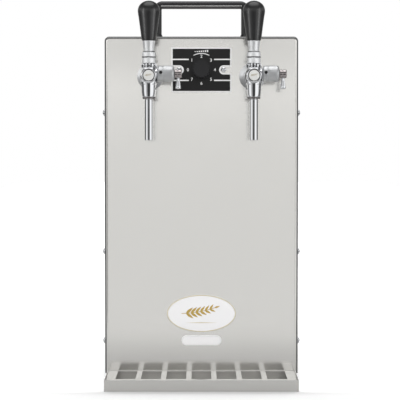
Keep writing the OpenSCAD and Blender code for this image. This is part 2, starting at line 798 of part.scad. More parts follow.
// Round cap with a rolled edge and a recess for its disc
module front_cap() color(chrome) translate([0, -cap_seat, -ball_drop]) to_front()
    rotate_extrude() polygon(concat(
        [[0, 0], [cap_d / 2 - disc_depth, 0], [cap_d / 2, disc_depth]],
        arc([cap_d / 2 - cap_round, cap_t - cap_round], cap_round, 0, 90, cap_steps),
        [[cap_disc_d / 2, cap_t], [cap_disc_d / 2, cap_t - disc_depth], [0, cap_t - disc_depth]]
    ));

pin_hole_d = pivot_pin_d + 2 * run_gap;

// Bonnet: a collar with a domed top that holds the lever's ball
module bonnet() color(chrome) difference() {
    intersection() {
        translate([0, 0, bonnet_seat]) cylinder(h = 2 * dome_r, d = collar_d);
        translate([0, 0, pivot_z]) sphere(r = dome_r);
    }
    translate([0, 0, pivot_z]) sphere(d = ball_socket_d);
    translate([0, 0, bonnet_seat - cut]) cylinder(h = pivot_rise + cut, d = ball_socket_d + slip_gap);
    swept_slot(lever_rod_d / 2 + slip_gap, 2 * dome_r, lever_rod_d + 2 * slip_gap);
    translate([-collar_d, 0, pivot_z]) to_right() cylinder(h = 2 * collar_d, d = pin_hole_d);
}

module pivot_pin() color(steel) translate([-collar_d / 2 + slip_gap, 0, pivot_z]) to_right()
    cylinder(h = collar_d - 2 * slip_gap, d = pivot_pin_d);

cup_low = dome_r * 0.4;
ferrule_flat = 3;
ferrule_rim = 1.5;
ferrule_steps = 8;
flare_z = collar_top + ferrule_flat;
flare_h = grip_foot - ferrule_rim - flare_z;
flare_r = cap_radius(2 * flare_h, (ferrule_top_d - ferrule_waist_d) / 2);
flare_start = 180;

// Lever: ball, driving arm, cupped collar, ferrule and the stud for the grip
module lever() color(chrome) difference() {
    union() {
        translate([0, 0, pivot_z]) sphere(d = lever_ball_d);
        translate([0, 0, pivot_z]) cylinder(h = collar_top - pivot_z, d = lever_rod_d);
        translate([0, 0, pivot_z - arm_root]) cylinder(h = arm_root, d = arm_d);
        translate([0, 0, pivot_z - arm_len]) cylinder(h = arm_len, d = arm_tip_d);
        difference() {
            translate([0, 0, pivot_z + cup_low]) cylinder(h = collar_top - pivot_z - cup_low, d = collar_d);
            translate([0, 0, pivot_z]) sphere(r = dome_r + cup_gap);
        }
        rotate_extrude() polygon(concat(
            [[0, grip_foot], [0, collar_top], [ferrule_waist_d / 2, collar_top]],
            arc([ferrule_waist_d / 2 + flare_r, flare_z], flare_r, flare_start,
                flare_start - asin(flare_h / flare_r), ferrule_steps),
            [[ferrule_top_d / 2, grip_foot]]
        ));
        translate([0, 0, grip_foot]) cylinder(h = stud_l, d = stud_d);
    }
    translate([-collar_d, 0, pivot_z]) to_right() cylinder(h = 2 * collar_d, d = pin_hole_d);
}

grip_head_z = grip_foot + grip_h - grip_head_d / 2;
grip_shoulder = 68;

// Tapered grip with a round head
module grip() color(black) difference() {
    union() {
        rotate_extrude() polygon([
            [0, grip_foot], [grip_foot_d / 2, grip_foot],
            [grip_head_d / 2 * sin(grip_shoulder), grip_head_z - grip_head_d / 2 * cos(grip_shoulder)],
            [0, grip_head_z],
        ]);
        translate([0, 0, grip_head_z]) sphere(d = grip_head_d);
    }
    translate([0, 0, grip_foot - cut]) cylinder(h = stud_l + slip_gap + cut, d = stud_d + 2 * run_gap);
}

// Shaft that the lever's arm pushes to the rear, with a rubber head on its seat
module valve_shaft() color(brass) difference() {
    union() {
        translate([0, -valve_front, 0]) to_rear()
            cylinder(h = valve_front + boss_reach + slip_gap, d = valve_d);
        translate([0, boss_reach + slip_gap, 0]) to_rear() cylinder(h = valve_head_t, d = valve_head_d);
    }
    translate([-valve_slot_w / 2, -valve_slot_l / 2, -valve_d])
        cube([valve_slot_w, valve_slot_l, 2 * valve_d]);
}

// Spout tube, narrowed just below the body where it plugs in
module spout() color(chrome) translate([0, 0, -body_drop - spout_len]) difference() {
    union() {
        cylinder(h = spout_len - spout_relief, d = spout_d);
        cylinder(h = spout_len + spout_socket, d = spout_plug_d);
    }
    translate([0, 0, -cut]) cylinder(h = spout_len + spout_socket + 2 * cut, d = outlet_d);
}

valve_travel = pivot_z * sin(lever_travel);
// Room that beer needs round the valve's head, and behind it
chamber_gap = 1;
chamber_end = 4;
chamber_d = valve_head_d + 2 * chamber_gap;
chamber_l = valve_head_t + valve_travel + chamber_end;
coupling_l = 8;

// Threaded shank from the tap through the panel
module shank() color(chrome) difference() {
    union() {
        translate([0, boss_reach, 0]) to_rear()
            cylinder(h = tap_reach - boss_reach + shank_tail, d = shank_d);
        translate([0, boss_reach, 0]) to_rear() cylinder(h = coupling_l, d = boss_d);
    }
    translate([0, boss_reach - cut, 0]) to_rear() cylinder(h = chamber_l + cut, d = chamber_d);
    translate([0, boss_reach, 0]) to_rear() cylinder(h = tap_reach + shank_tail, d = shank_bore);
}

rosette_bore = shank_d + 2 * slip_gap;
rosette_rim = 5;
rosette_r = cap_radius(rosette_d, rosette_t - rosette_rim);

// Domed cover plate round the shank
module rosette() color(chrome) translate([0, tap_reach - rosette_t, 0]) to_rear() difference() {
    intersection() {
        cylinder(h = rosette_t, d = rosette_d);
        translate([0, 0, rosette_r]) sphere(r = rosette_r);
    }
    translate([0, 0, -cut]) cylinder(h = rosette_t + 2 * cut, d = rosette_bore);
}

module lock_nut() color(brass) translate([0, tap_reach + sheet_t, 0]) to_rear() difference() {
    cylinder(h = nut_t, d = nut_d, $fn = 6);
    translate([0, 0, -cut]) cylinder(h = nut_t + 2 * cut, d = shank_d + 2 * run_gap);
}

spindle_l = 10;
barrel_edge = 1.5;
barrel_nose = 3;
set_hole_d = 2.6;
set_hole_x = 4.5;

// Regulator barrel on the tap's right side
module regulator() color(chrome) translate([barrel_start, 0, barrel_rise]) difference() {
    to_right() rotate_extrude() polygon([
        [0, 0], [barrel_d / 2 - barrel_edge, 0], [barrel_d / 2, barrel_edge],
        [barrel_d / 2, barrel_l - barrel_nose], [barrel_d / 2 - barrel_nose, barrel_l], [0, barrel_l],
    ]);
    translate([barrel_l - spindle_l, 0, 0]) to_right()
        cylinder(h = spindle_l + cut, d = spindle_d + 2 * run_gap);
    translate([set_hole_x, -barrel_d / 4, 0]) to_front() cylinder(h = barrel_d, d = set_hole_d);
}

hub_x = barrel_start + barrel_l + slip_gap;
// Regulator lever: where its arm starts in the hub, where it leaves it, and its round end
paddle_root = hub_d / 4;
paddle_neck_z = hub_d * 0.6;
paddle_round = 2.5;
paddle_tip_r = paddle_d / 3;

// Small lever that turns the regulator, hanging down at rest
module regulator_lever() color(chrome) translate([0, 0, barrel_rise]) {
    translate([hub_x, 0, 0]) to_right() cylinder(h = hub_l, d = hub_d);
    translate([hub_x - spindle_l, 0, 0]) to_right() cylinder(h = spindle_l, d = spindle_d);
    translate([hub_x + hub_l / 2, 0, 0]) rotate_extrude() polygon([
        [0, -paddle_root], [paddle_neck_d / 2, -paddle_root], [paddle_neck_d / 2, -paddle_neck_z],
        [paddle_d / 2, paddle_round - paddle_l], [paddle_tip_r, -paddle_l], [0, -paddle_l],
    ]);
}

// Cooling unit

// Unit vector, and a vector laid square to a direction
function unit(v) = v / norm(v);
function squared(v, along) = unit(v - (v * along) * along);

// Route with each inner corner rounded over a given length
function rounded_route(p, r) = concat([p[0]],
    [for (i = [1 : len(p) - 2])
        let (a = p[i] + r * unit(p[i - 1] - p[i]), b = p[i] + r * unit(p[i + 1] - p[i]))
        for (k = [0 : bend_steps]) let (s = k / bend_steps)
            (1 - s) * (1 - s) * a + 2 * s * (1 - s) * p[i] + s * s * b],
    [p[len(p) - 1]]);
bend_steps = 4;

// Normals carried along a route without twisting
function carried(tangents, i, v) = i == len(tangents) ? [] :
    let (n = squared(v, tangents[i])) concat([n], carried(tangents, i + 1, n));

// Round tube along a route
module tube_along(route, d) {
    last = len(route) - 1;
    tangents = [for (i = [0 : last]) unit(route[min(i + 1, last)] - route[max(i - 1, 0)])];
    start = abs(tangents[0][2]) > near_upright ? [1, 0, 0] : [0, 0, 1];
    normals = carried(tangents, 0, start);
    points = [for (i = [0 : last], k = [0 : tube_sides - 1]) let (a = 360 * k / tube_sides)
        route[i] + d / 2 * (cos(a) * normals[i] + sin(a) * cross(tangents[i], normals[i]))];
    sides = [for (i = [0 : last - 1], k = [0 : tube_sides - 1])
        let (a = i * tube_sides + k, b = i * tube_sides + (k + 1) % tube_sides)
        each [[a, a + tube_sides, b], [b, a + tube_sides, b + tube_sides]]];
    polyhedron(points, concat(sides,
        [[for (k = [0 : tube_sides - 1]) k], [for (k = [tube_sides - 1 : -1 : 0]) last * tube_sides + k]]));
}
tube_sides = 12;
near_upright = 0.9;

shelf_front = doubler_y + doubler_w + slip_gap;
shelf_rear = rear_y - rear_flange - slip_gap;
// Where the pipes rise: in from the side wall, with the liquid line behind the suction line
riser_inset = 17;
riser_room = 8;
liquid_behind = 38;
riser_x = inner_half - riser_inset;
suction_y = front_y + pot_back;
liquid_y = suction_y + liquid_behind;

// Shelf across the cabinet, with turned-down edges and a hole for the pipes
module mid_shelf() color(steel) difference() {
    translate([-inner_half, shelf_front, shelf_z - shelf_edge])
        cube([2 * inner_half, shelf_rear - shelf_front, shelf_edge + sheet_t]);
    translate([sheet_t - inner_half, shelf_front - cut, shelf_z - shelf_edge - cut])
        cube([2 * (inner_half - sheet_t), shelf_rear - shelf_front + 2 * cut, shelf_edge + cut]);
    translate([riser_x - riser_room, suction_y - 2 * riser_room, shelf_z - cut])
        cube([2 * riser_room, liquid_y - suction_y + 4 * riser_room, sheet_t + 2 * cut]);
}

foam_size = block_size + 2 * foam_wall * [1, 1, 1];
foam_y = front_y + foam_back;
foam_z = shelf_z + sheet_t;
block_z = foam_z + foam_wall;
// Ports of the cooling block: in from the taps' axes, and at shares of the block's height
port_inset = 13.5;
port_x = tap_spacing / 2 - port_inset;
port_out_z = block_z + block_size[2] * 0.8;
port_in_z = inlet_z;
port_liquid_z = block_z + block_size[2] * 0.5;
port_suction_z = block_z + block_size[2] * 0.3;

// Places children at the block's ports, with +Z leaving the block
module at_beer_ports() for (s = [-1, 1]) {
    translate([s * port_x, foam_y + foam_wall, port_out_z]) to_front() children();
    translate([s * inlet_spacing / 2, foam_y + foam_size[1] - foam_wall, port_in_z]) to_rear() children();
}
module at_gas_ports() for (p = [[liquid_y, port_liquid_z], [suction_y, port_suction_z]])
    translate([block_size[0] / 2, p[0], p[1]]) to_right() children();

// Cast block with its tube stubs
module cooling_block() color(alloy) union() {
    translate([-block_size[0] / 2, foam_y + foam_wall, block_z]) cube(block_size);
    at_beer_ports() cylinder(h = foam_wall, d = tube_d);
    at_gas_ports() cylinder(h = foam_wall, d = pipe_d);
}

module block_insulation() color(foam) difference() {
    translate([-foam_size[0] / 2, foam_y, foam_z]) cube(foam_size);
    translate([-block_size[0] / 2, foam_y + foam_wall, block_z]) cube(block_size);
    at_beer_ports() translate([0, 0, -cut]) cylinder(h = foam_wall + 2 * cut, d = tube_d + 2 * slip_gap);
    at_gas_ports() translate([0, 0, -cut]) cylinder(h = foam_wall + 2 * cut, d = pipe_d + 2 * slip_gap);
}

inlet_tail = 20;
line_bend = 10;

// Beer tubes of one side: inlet to block, and block to tap
module beer_line(side) color(white) {
    translate([side * inlet_spacing / 2, foam_y + foam_size[1], port_in_z]) to_rear()
        cylinder(h = rear_y - inlet_tail - foam_y - foam_size[1], d = tube_d);
    shank_end = [side * tap_spacing / 2, front_y + shank_tail, tap_z];
    port = [side * port_x, foam_y, port_out_z];
    middle = (shank_end[1] + port[1]) / 2;
    tube_along(rounded_route([
        shank_end, [shank_end[0], middle, shank_end[2]], [port[0], middle, port[2]], port,
    ], line_bend), tube_d);
}

pot_z = pan_top + mount_h;
plate_edge = 26;
plate_thick = 3;
pot_seam = 3;
// Outline of the compressor's shell, as shares of its diameter and height
pot_outline = [
    [0, 0], [0.36, 0], [0.42, 0.03], [0.46, 0.08], [0.49, 0.14], [0.5, 0.2],
    [0.5, 0.78], [0.485, 0.84], [0.45, 0.9], [0.4, 0.95], [0.33, 0.98], [0, 1],
];
stud_rise = 14;
stub_x = 30;
mount_bolt_d = 8;

// Hermetic compressor on its foot plate
module compressor() color(black) translate([-pot_x, suction_y, pot_z]) difference() {
    union() {
        rotate_extrude() polygon([for (p = pot_outline) [p[0] * pot_d, p[1] * pot_h]]);
        translate([0, 0, pot_h / 2]) cylinder(h = pot_seam, d = pot_d + 2 * pot_seam);
        translate([-(mount_pitch + plate_edge) / 2, -(mount_pitch + plate_edge) / 2, 0])
            cube([mount_pitch + plate_edge, mount_pitch + plate_edge, plate_thick]);
        for (s = [-1, 1]) translate([s * stub_x, 0, pot_h / 2])
            cylinder(h = pot_h / 2 + stud_rise, d = pipe_d);
    }
    for (x = [-1, 1], y = [-1, 1]) translate([x * mount_pitch / 2, y * mount_pitch / 2, -cut])
        cylinder(h = plate_thick + 2 * cut, d = mount_bolt_d);
}

mount_d = 24;
mount_top_d = mount_d * 0.8;

module compressor_mounts() color(rubber) at_mounts() difference() {
    cylinder(h = mount_h, d1 = mount_d, d2 = mount_top_d);
    translate([0, 0, -cut]) cylinder(h = mount_h + 2 * cut, d = mount_bolt_d);
}

coil_y = rear_y - coil_inset - coil_size[1];
coil_mid_y = coil_y + coil_size[1] / 2;
coil_rows = 5;
coil_row_pitch = coil_size[2] / coil_rows;
coil_stub = 10;
coil_top_z = pan_top + coil_row_pitch * (coil_rows - 0.5);
coil_low_z = pan_top + coil_row_pitch / 2;

// Finned condenser: upright fins on a tube that runs to and fro
module condenser() color(alloy) union() {
    for (i = [0 : fin_count - 1])
        translate([-coil_size[0] / 2 + i * (coil_size[0] - fin_t) / (fin_count - 1), coil_y, pan_top])
            cube([fin_t, coil_size[1], coil_size[2]]);
    for (k = [0 : coil_rows - 1]) translate([0, coil_mid_y, coil_low_z + k * coil_row_pitch]) {
        translate([-coil_size[0] / 2 - (k == coil_rows - 1 ? coil_stub : 0), 0, 0]) to_right()
            cylinder(h = coil_size[0] + (k == 0 || k == coil_rows - 1 ? coil_stub : 0), d = coil_tube_d);
        if (k < coil_rows - 1) coil_return(k % 2 == 0 ? -1 : 1);
    }
}

// Half-round bend from one row of the condenser to the row above it
module coil_return(side) translate([side * coil_size[0] / 2, 0, coil_row_pitch / 2]) rotate([90, 0, 0])
    rotate([0, 0, side > 0 ? -90 : 90]) rotate_extrude(angle = 180)
        translate([coil_row_pitch / 2, 0]) circle(d = coil_tube_d);

fan_z = pan_top + coil_size[2] / 2;
blade_gap = 4;
ring_d = fan_d + 2 * blade_gap;
shroud_y = coil_y - sheet_t;
ring_front = shroud_y - shroud_depth;

// Fan shroud: a plate on the condenser with a round throat
module fan_shroud() color(steel) difference() {
    union() {
        translate([-coil_size[0] / 2, shroud_y, pan_top]) cube([coil_size[0], sheet_t, coil_size[2]]);
        translate([0, ring_front, fan_z]) to_rear() cylinder(h = shroud_depth, d = ring_d + 2 * sheet_t);
    }
    translate([0, ring_front - cut, fan_z]) to_rear()
        cylinder(h = shroud_depth + sheet_t + 2 * cut, d = ring_d);
}

motor_back = 2;
arm_w = 10;
arm_t = 3;
arm_count = 3;
fan_shaft_d = 6;
hub_gap = 3;
hub_len = 14;

// Fan motor on a three-armed bracket across the throat
module fan_motor() color(black) translate([0, ring_front, fan_z]) to_rear() {
    translate([0, 0, motor_back - motor_l]) cylinder(h = motor_l, d = motor_d);
    translate([0, 0, motor_back - motor_l / 2])
        cylinder(h = motor_l / 2 + hub_gap + hub_len, d = fan_shaft_d);
    for (i = [0 : arm_count - 1]) rotate(90 + 360 * i / arm_count)
        translate([0, -arm_w / 2, -arm_t]) cube([ring_d / 2 + sheet_t, arm_w, arm_t]);
}

blade_w = 32;
blade_t = 1.8;
fan_y = ring_front + motor_back + hub_gap;

// Fan blades on their hub
module fan_blade() color(black) translate([0, fan_y, fan_z]) to_rear() difference() {
    union() {
        cylinder(h = hub_len, d = fan_hub_d);
        intersection() {
            for (i = [0 : blade_count - 1]) rotate(360 * i / blade_count) translate([0, 0, hub_len / 2])
                rotate([blade_pitch, 0, 0]) translate([fan_hub_d / 4, -blade_w / 2, -blade_t / 2])
                    cube([fan_d, blade_w, blade_t]);
            translate([0, 0, -hub_len]) cylinder(h = 3 * hub_len, d = fan_d);
        }
    }
    translate([0, 0, -cut]) cylinder(h = hub_len + 2 * cut, d = fan_shaft_d + 2 * run_gap);
}

drier_inset = 53.8;
drier_x = inner_half - drier_inset;
drier_rise = 45;
drier_z = coil_low_z + drier_rise;
drier_nose = 14;

module filter_drier() color(copper) translate([drier_x, liquid_y, drier_z]) rotate_extrude() polygon([
    [0, -drier_nose], [pipe_d / 2, -drier_nose], [drier_d / 2, 0], [drier_d / 2, drier_l],
    [pipe_d / 2, drier_l + drier_nose], [0, drier_l + drier_nose],
]);

pipe_bend = 9;
// Heights of the two runs under the shelf, and the run beside the condenser
run_below_shelf = 18;
run_spacing = 12;
run_beside_coil = 13;
pipe_top_z = shelf_z - shelf_edge - run_below_shelf;
pipe_low_z = pipe_top_z - run_spacing;
side_run_x = coil_size[0] / 2 + coil_stub + run_beside_coil;
pot_top = pot_z + pot_h + stud_rise;
foam_side = foam_size[0] / 2;

// Pipes of the cooling circuit: hot gas, liquid, feed and suction
module refrigerant_pipes() color(copper) for (route = [
    [[-pot_x - stub_x, suction_y, pot_top], [-pot_x - stub_x, suction_y, pipe_top_z],
        [-pot_x - stub_x, coil_mid_y, pipe_top_z], [-side_run_x, coil_mid_y, pipe_top_z],
        [-side_run_x, coil_mid_y, coil_top_z], [-coil_size[0] / 2 - coil_stub, coil_mid_y, coil_top_z]],
    [[coil_size[0] / 2 + coil_stub, coil_mid_y, coil_low_z], [side_run_x, coil_mid_y, coil_low_z],
        [side_run_x, liquid_y, coil_low_z], [drier_x, liquid_y, coil_low_z],
        [drier_x, liquid_y, drier_z - drier_nose]],
    [[drier_x, liquid_y, drier_z + drier_l + drier_nose], [drier_x, liquid_y, pipe_low_z],
        [riser_x, liquid_y, pipe_low_z], [riser_x, liquid_y, port_liquid_z],
        [foam_side, liquid_y, port_liquid_z]],
    [[foam_side, suction_y, port_suction_z], [riser_x, suction_y, port_suction_z],
        [riser_x, suction_y, pipe_top_z], [stub_x - pot_x, suction_y, pipe_top_z],
        [stub_x - pot_x, suction_y, pot_top]],
]) tube_along(rounded_route(route, pipe_bend), pipe_d);

// Rear fittings

inlet_bore = tube_d + 2 * inlet_gap;
fitting_edge = 2;
inlet_body = rear_reach * 0.55;
inlet_collar = rear_reach * 0.8;
inlet_waist = inlet_d / 2 - fitting_edge;
inlet_collar_r = inlet_d / 2 - fitting_edge / 2;

// Push-in beer inlet, with its socket open to the rear
module beer_inlet(side) color(white) translate([side * inlet_spacing / 2, rear_y, inlet_z]) difference() {
    union() {
        to_rear() rotate_extrude() polygon([
            [0, 0], [inlet_d / 2, 0], [inlet_d / 2, inlet_body], [inlet_waist, inlet_body + fitting_edge],
            [inlet_waist, inlet_collar], [inlet_collar_r, inlet_collar + fitting_edge / 2],
            [inlet_collar_r, rear_reach], [0, rear_reach],
        ]);
        translate([0, -inlet_tail, 0]) to_rear() cylinder(h = inlet_tail, d = inlet_neck_d);
    }
    translate([0, rear_reach - inlet_depth, 0]) to_rear() cylinder(h = inlet_depth + cut, d = inlet_bore);
    translate([0, -inlet_tail - cut, 0]) to_rear()
        cylinder(h = inlet_tail + rear_reach, d = inlet_bore - 2 * fitting_edge);
}

gland_nut_l = 9;
gland_tail = 12;
gland_hex_d = gland_d * 1.15;
gland_dome_y = gland_reach * 0.7;

// Cable gland with a hexagon base and a domed nut
module cable_gland() color(black) translate([-gland_x, rear_y, gland_z]) difference() {
    union() {
        to_rear() cylinder(h = gland_nut_l, d = gland_hex_d, $fn = 6);
        to_rear() rotate_extrude() polygon([
            [0, gland_nut_l / 2], [gland_d / 2, gland_nut_l / 2], [gland_d / 2, gland_dome_y],
            [gland_bore / 2 + fitting_edge, gland_reach], [0, gland_reach],
        ]);
        translate([0, -gland_tail, 0]) to_rear() cylinder(h = gland_tail, d = gland_neck_d);
    }
    translate([0, -gland_tail - cut, 0]) to_rear()
        cylinder(h = gland_tail + gland_reach + 2 * cut, d = gland_bore);
}

// Drip tray

tray_front = front_y - tray_reach;
tray_depth = tray_reach - tray_gap;
// The tongue clears the feet on both sides
tongue_room = 10;
tongue_w = 2 * (half - foot_inset_x - tongue_room) - foot_d;

// Tray with a tongue that slides under the cabinet
module drip_tray() color(steel) {
    difference() {
        translate([-tray_w / 2, tray_front, 0]) cube([tray_w, tray_depth, tray_h]);
        translate([tray_t - tray_w / 2, tray_front + tray_t, tray_t])
            cube([tray_w - 2 * tray_t, tray_depth - 2 * tray_t, tray_h]);
    }
    translate([-tongue_w / 2, tray_front + tray_depth - tray_t, 0])
        cube([tongue_w, tongue_l + tray_gap + tray_t, tray_t]);
}

grate_side = tray_t + grate_gap;
grate_w = tray_w - 2 * grate_side;
grate_d = tray_depth - 2 * grate_side;
grate_y = tray_front + grate_side;
slot_w = (grate_w - 2 * grate_end - (slot_count - 1) * bar_w) / slot_count;
slot_y = grate_y + grate_front;
slot_l = grate_d - grate_front - grate_rear;
finger_bite = 5;

// Grate: a slotted plate on a skirt that stands on the tray's floor
module drip_grate() color(steel) difference() {
    translate([-grate_w / 2, grate_y, tray_t]) cube([grate_w, grate_d, tray_h - tray_t]);
    translate([grate_t - grate_w / 2, grate_y + grate_t, tray_t - cut])
        cube([grate_w - 2 * grate_t, grate_d - 2 * grate_t, tray_h - tray_t - grate_t + cut]);
    for (i = [0 : slot_count - 1])
        translate([-grate_w / 2 + grate_end + i * (slot_w + bar_w), slot_y, tray_h - grate_t - cut])
            cube([slot_w, slot_l, grate_t + 2 * cut]);
    translate([0, slot_y + finger_d / 2 - finger_bite, tray_h - grate_t - cut])
        cylinder(h = grate_t + 2 * cut, d = finger_d);
}

base_pan();
rubber_feet();
foot_screws();
front_panel();
cabinet_wrapper();
rear_panel();
side_screws();
carry_handle();
handle_screws();
control_plate();
thermostat_knob();
thermostat_body();
thermostat_screws();
oval_badge();
pill_label();
at_tap(-1) shank();  // left_shank
at_tap(-1) rosette();  // left_rosette
at_tap(-1) lock_nut();  // left_lock_nut
at_tap(-1) tap_body();  // left_tap_body
at_tap(-1) front_cap();  // left_front_cap
at_tap(-1) bonnet();  // left_bonnet
at_tap(-1) pivot_pin();  // left_pivot_pin
at_tap(-1) lever();  // left_lever
at_tap(-1) grip();  // left_grip
at_tap(-1) valve_shaft();  // left_valve_shaft
at_tap(-1) spout();  // left_spout
at_tap(-1) regulator();  // left_regulator
at_tap(-1) regulator_lever();  // left_regulator_lever
at_tap(1) shank();  // right_shank
at_tap(1) rosette();  // right_rosette
at_tap(1) lock_nut();  // right_lock_nut
at_tap(1) tap_body();  // right_tap_body
at_tap(1) front_cap();  // right_front_cap
at_tap(1) bonnet();  // right_bonnet
at_tap(1) pivot_pin();  // right_pivot_pin
at_tap(1) lever();  // right_lever
at_tap(1) grip();  // right_grip
at_tap(1) valve_shaft();  // right_valve_shaft
at_tap(1) spout();  // right_spout
at_tap(1) regulator();  // right_regulator
at_tap(1) regulator_lever();  // right_regulator_lever
mid_shelf();
cooling_block();
block_insulation();
beer_line(-1);  // left_beer_line
beer_line(1);  // right_beer_line
compressor();
compressor_mounts();
condenser();
fan_shroud();
fan_motor();
fan_blade();
filter_drier();
refrigerant_pipes();
beer_inlet(-1);  // left_beer_inlet
beer_inlet(1);  // right_beer_inlet
cable_gland();
drip_tray();
drip_grate();
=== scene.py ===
# %% [markdown]
# # A two-tap beer cooler, dressed in Blender
#
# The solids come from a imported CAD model: a steel cabinet, two chrome taps, a dial, a carry
# handle and a drip tray. This lesson gives each of them its finish, adds the small things that
# a drawing of solids leaves out, and lights the whole as on a product page.
# All lengths are metres, in the same frame as the CAD model: +Z is up and the taps face -Y.
# Small pieces are sized in millimetres, and `MM` turns those sizes into metres.

# %% Load the frame
import json
import math

import bmesh
import bpy
from mathutils import Matrix, Vector


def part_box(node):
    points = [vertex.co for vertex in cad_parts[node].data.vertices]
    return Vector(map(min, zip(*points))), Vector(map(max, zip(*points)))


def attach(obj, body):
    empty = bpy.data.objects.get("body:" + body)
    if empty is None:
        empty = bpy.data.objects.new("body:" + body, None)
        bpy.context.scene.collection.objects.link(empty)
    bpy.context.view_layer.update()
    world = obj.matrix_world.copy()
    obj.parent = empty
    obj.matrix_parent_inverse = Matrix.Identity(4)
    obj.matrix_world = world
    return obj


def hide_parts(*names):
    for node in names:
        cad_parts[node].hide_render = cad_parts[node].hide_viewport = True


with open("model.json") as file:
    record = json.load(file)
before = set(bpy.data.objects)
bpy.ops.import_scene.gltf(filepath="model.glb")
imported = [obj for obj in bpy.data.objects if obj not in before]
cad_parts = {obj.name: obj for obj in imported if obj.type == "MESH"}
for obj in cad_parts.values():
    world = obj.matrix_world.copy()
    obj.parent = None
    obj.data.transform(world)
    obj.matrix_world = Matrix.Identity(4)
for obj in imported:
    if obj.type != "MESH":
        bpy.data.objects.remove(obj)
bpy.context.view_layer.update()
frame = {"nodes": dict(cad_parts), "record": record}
nodes = frame["nodes"]
MM = 0.001

# %% [markdown]
# ## Camera
#
# The photograph was taken with a long lens from a little below the cabinet's top, so upright
# edges stay almost parallel. A camera that looked down more would make them converge. A small
# part of the framing is therefore a lens shift and the rest is a slight tilt, which keeps other
# views well framed.

# %% Camera
FRAME_PX = 400
SENSOR_MM = 36.0
FOCAL_PX = 1569
HORIZON_ROW = 133
CENTRE_COLUMN = 201.4
SHIFT_ROWS = 20
PANEL_DISTANCE = 2.2675
CAMERA_HEIGHT = 0.3607

panel_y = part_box("front_panel")[0].y
tilt = math.atan((FRAME_PX / 2 - HORIZON_ROW - SHIFT_ROWS) / FOCAL_PX)
camera_data = bpy.data.cameras.new("camera")
camera_data.sensor_width = SENSOR_MM
camera_data.lens = camera_data.sensor_width * FOCAL_PX / FRAME_PX
camera_data.shift_x = -(CENTRE_COLUMN - FRAME_PX / 2) / FRAME_PX
camera_data.shift_y = -SHIFT_ROWS / FRAME_PX
camera = bpy.data.objects.new("camera", camera_data)
camera.location = (0, panel_y - PANEL_DISTANCE, CAMERA_HEIGHT)
camera.rotation_euler = (math.pi / 2 - tilt, 0, 0)
bpy.context.scene.collection.objects.link(camera)
bpy.context.scene.camera = camera
print("lens", round(camera_data.lens, 1), "mm, tilt", round(math.degrees(tilt), 2), "degrees")

# %% [markdown]
# ## Shader arithmetic
#
# A finish is a small graph of nodes. Writing it as Python sums keeps it readable: `Value` wraps
# one socket, and each operator on it adds a Math node. Everything else, such as a noise or a
# colour mix, comes from `Graph.node`, which takes the node's type, its settings and its inputs.

# %% Values
class Value:
    """A socket of a graph that can be used in sums."""

    def __init__(self, graph, socket):
        self.graph = graph
        self.socket = socket

    def maths(self, operation, first, second):
        return self.graph.node("ShaderNodeMath", {"operation": operation}, {0: first, 1: second})

    def __add__(self, other):
        return self.maths("ADD", self, other)

    def __sub__(self, other):
        return self.maths("SUBTRACT", self, other)

    def __rsub__(self, other):
        return self.maths("SUBTRACT", other, self)

    def __mul__(self, other):
        return self.maths("MULTIPLY", self, other)

    __radd__ = __add__
    __rmul__ = __mul__


print("values can be added, subtracted and multiplied")

# %% [markdown]
# A graph adds nodes to any node tree, and a finish is the graph of one material. Noise, bumps and
# stretched coordinates are used by almost every finish, so each has a short method here.

# %% Graphs and finishes
NOISE_ROUGHNESS = 0.6
WARM_RED = 1 / 3


class Graph:
    """A node tree that is filled by naming nodes."""

    def __init__(self, tree):
        self.tree = tree

    def feed(self, socket, value):
        if isinstance(value, Value):
            self.tree.links.new(value.socket, socket)
        else:
            socket.default_value = value

    def node(self, kind, settings=None, inputs=None, output=0):
        made = self.tree.nodes.new(kind)
        for setting, value in (settings or {}).items():
            setattr(made, setting, value)
        for key, value in (inputs or {}).items():
            self.feed(made.inputs[key], value)
        return Value(self, made.outputs[output])

    def mix(self, factor, first, second):
        return self.node("ShaderNodeMix", {"data_type": "RGBA"}, {0: factor, 6: first, 7: second}, output=2)

    def step(self, value, low, high):
        """0 below `low`, 1 above `high`, and a smooth rise between."""
        return self.node("ShaderNodeMapRange", {"interpolation_type": "SMOOTHSTEP"},
                         {"Value": value, "From Min": low, "From Max": high})


class Finish(Graph):
    """A material with one Principled shader and the nodes that feed it."""

    def __init__(self, name, **plain):
        self.material = bpy.data.materials.new(name)
        self.material.use_nodes = True
        super().__init__(self.material.node_tree)
        self.shader = self.tree.nodes["Principled BSDF"]
        self.surface(**plain)

    def surface(self, **sockets):
        for socket_name, value in sockets.items():
            self.feed(self.shader.inputs[socket_name.replace("_", " ")], value)
        return self.material

    def place(self, stretch=(1, 1, 1)):
        """Object coordinates, stretched along each axis."""
        spot = self.node("ShaderNodeTexCoord", output="Object")
        return self.node("ShaderNodeMapping", {}, {"Vector": spot, "Scale": stretch})

    def noise(self, scale, stretch=(1, 1, 1), detail=3.0):
        return self.node("ShaderNodeTexNoise", {}, {
            "Vector": self.place(stretch), "Scale": scale, "Detail": detail, "Roughness": NOISE_ROUGHNESS})

    def cells(self, scale, output):
        """Voronoi cells: their `Color`, or the `Distance` to their centres."""
        return self.node("ShaderNodeTexVoronoi", {}, {"Vector": self.place(), "Scale": scale}, output)

    def bump(self, height, strength, distance):
        return self.node("ShaderNodeBump", {}, {"Height": height, "Strength": strength, "Distance": distance})


def grey(level, warm=0.0):
    """A neutral colour; `warm` takes blue out of it and adds a third as much red."""
    return (level * (1 + warm * WARM_RED), level, level * (1 - warm), 1.0)


print("finishes are written as sums of sockets")

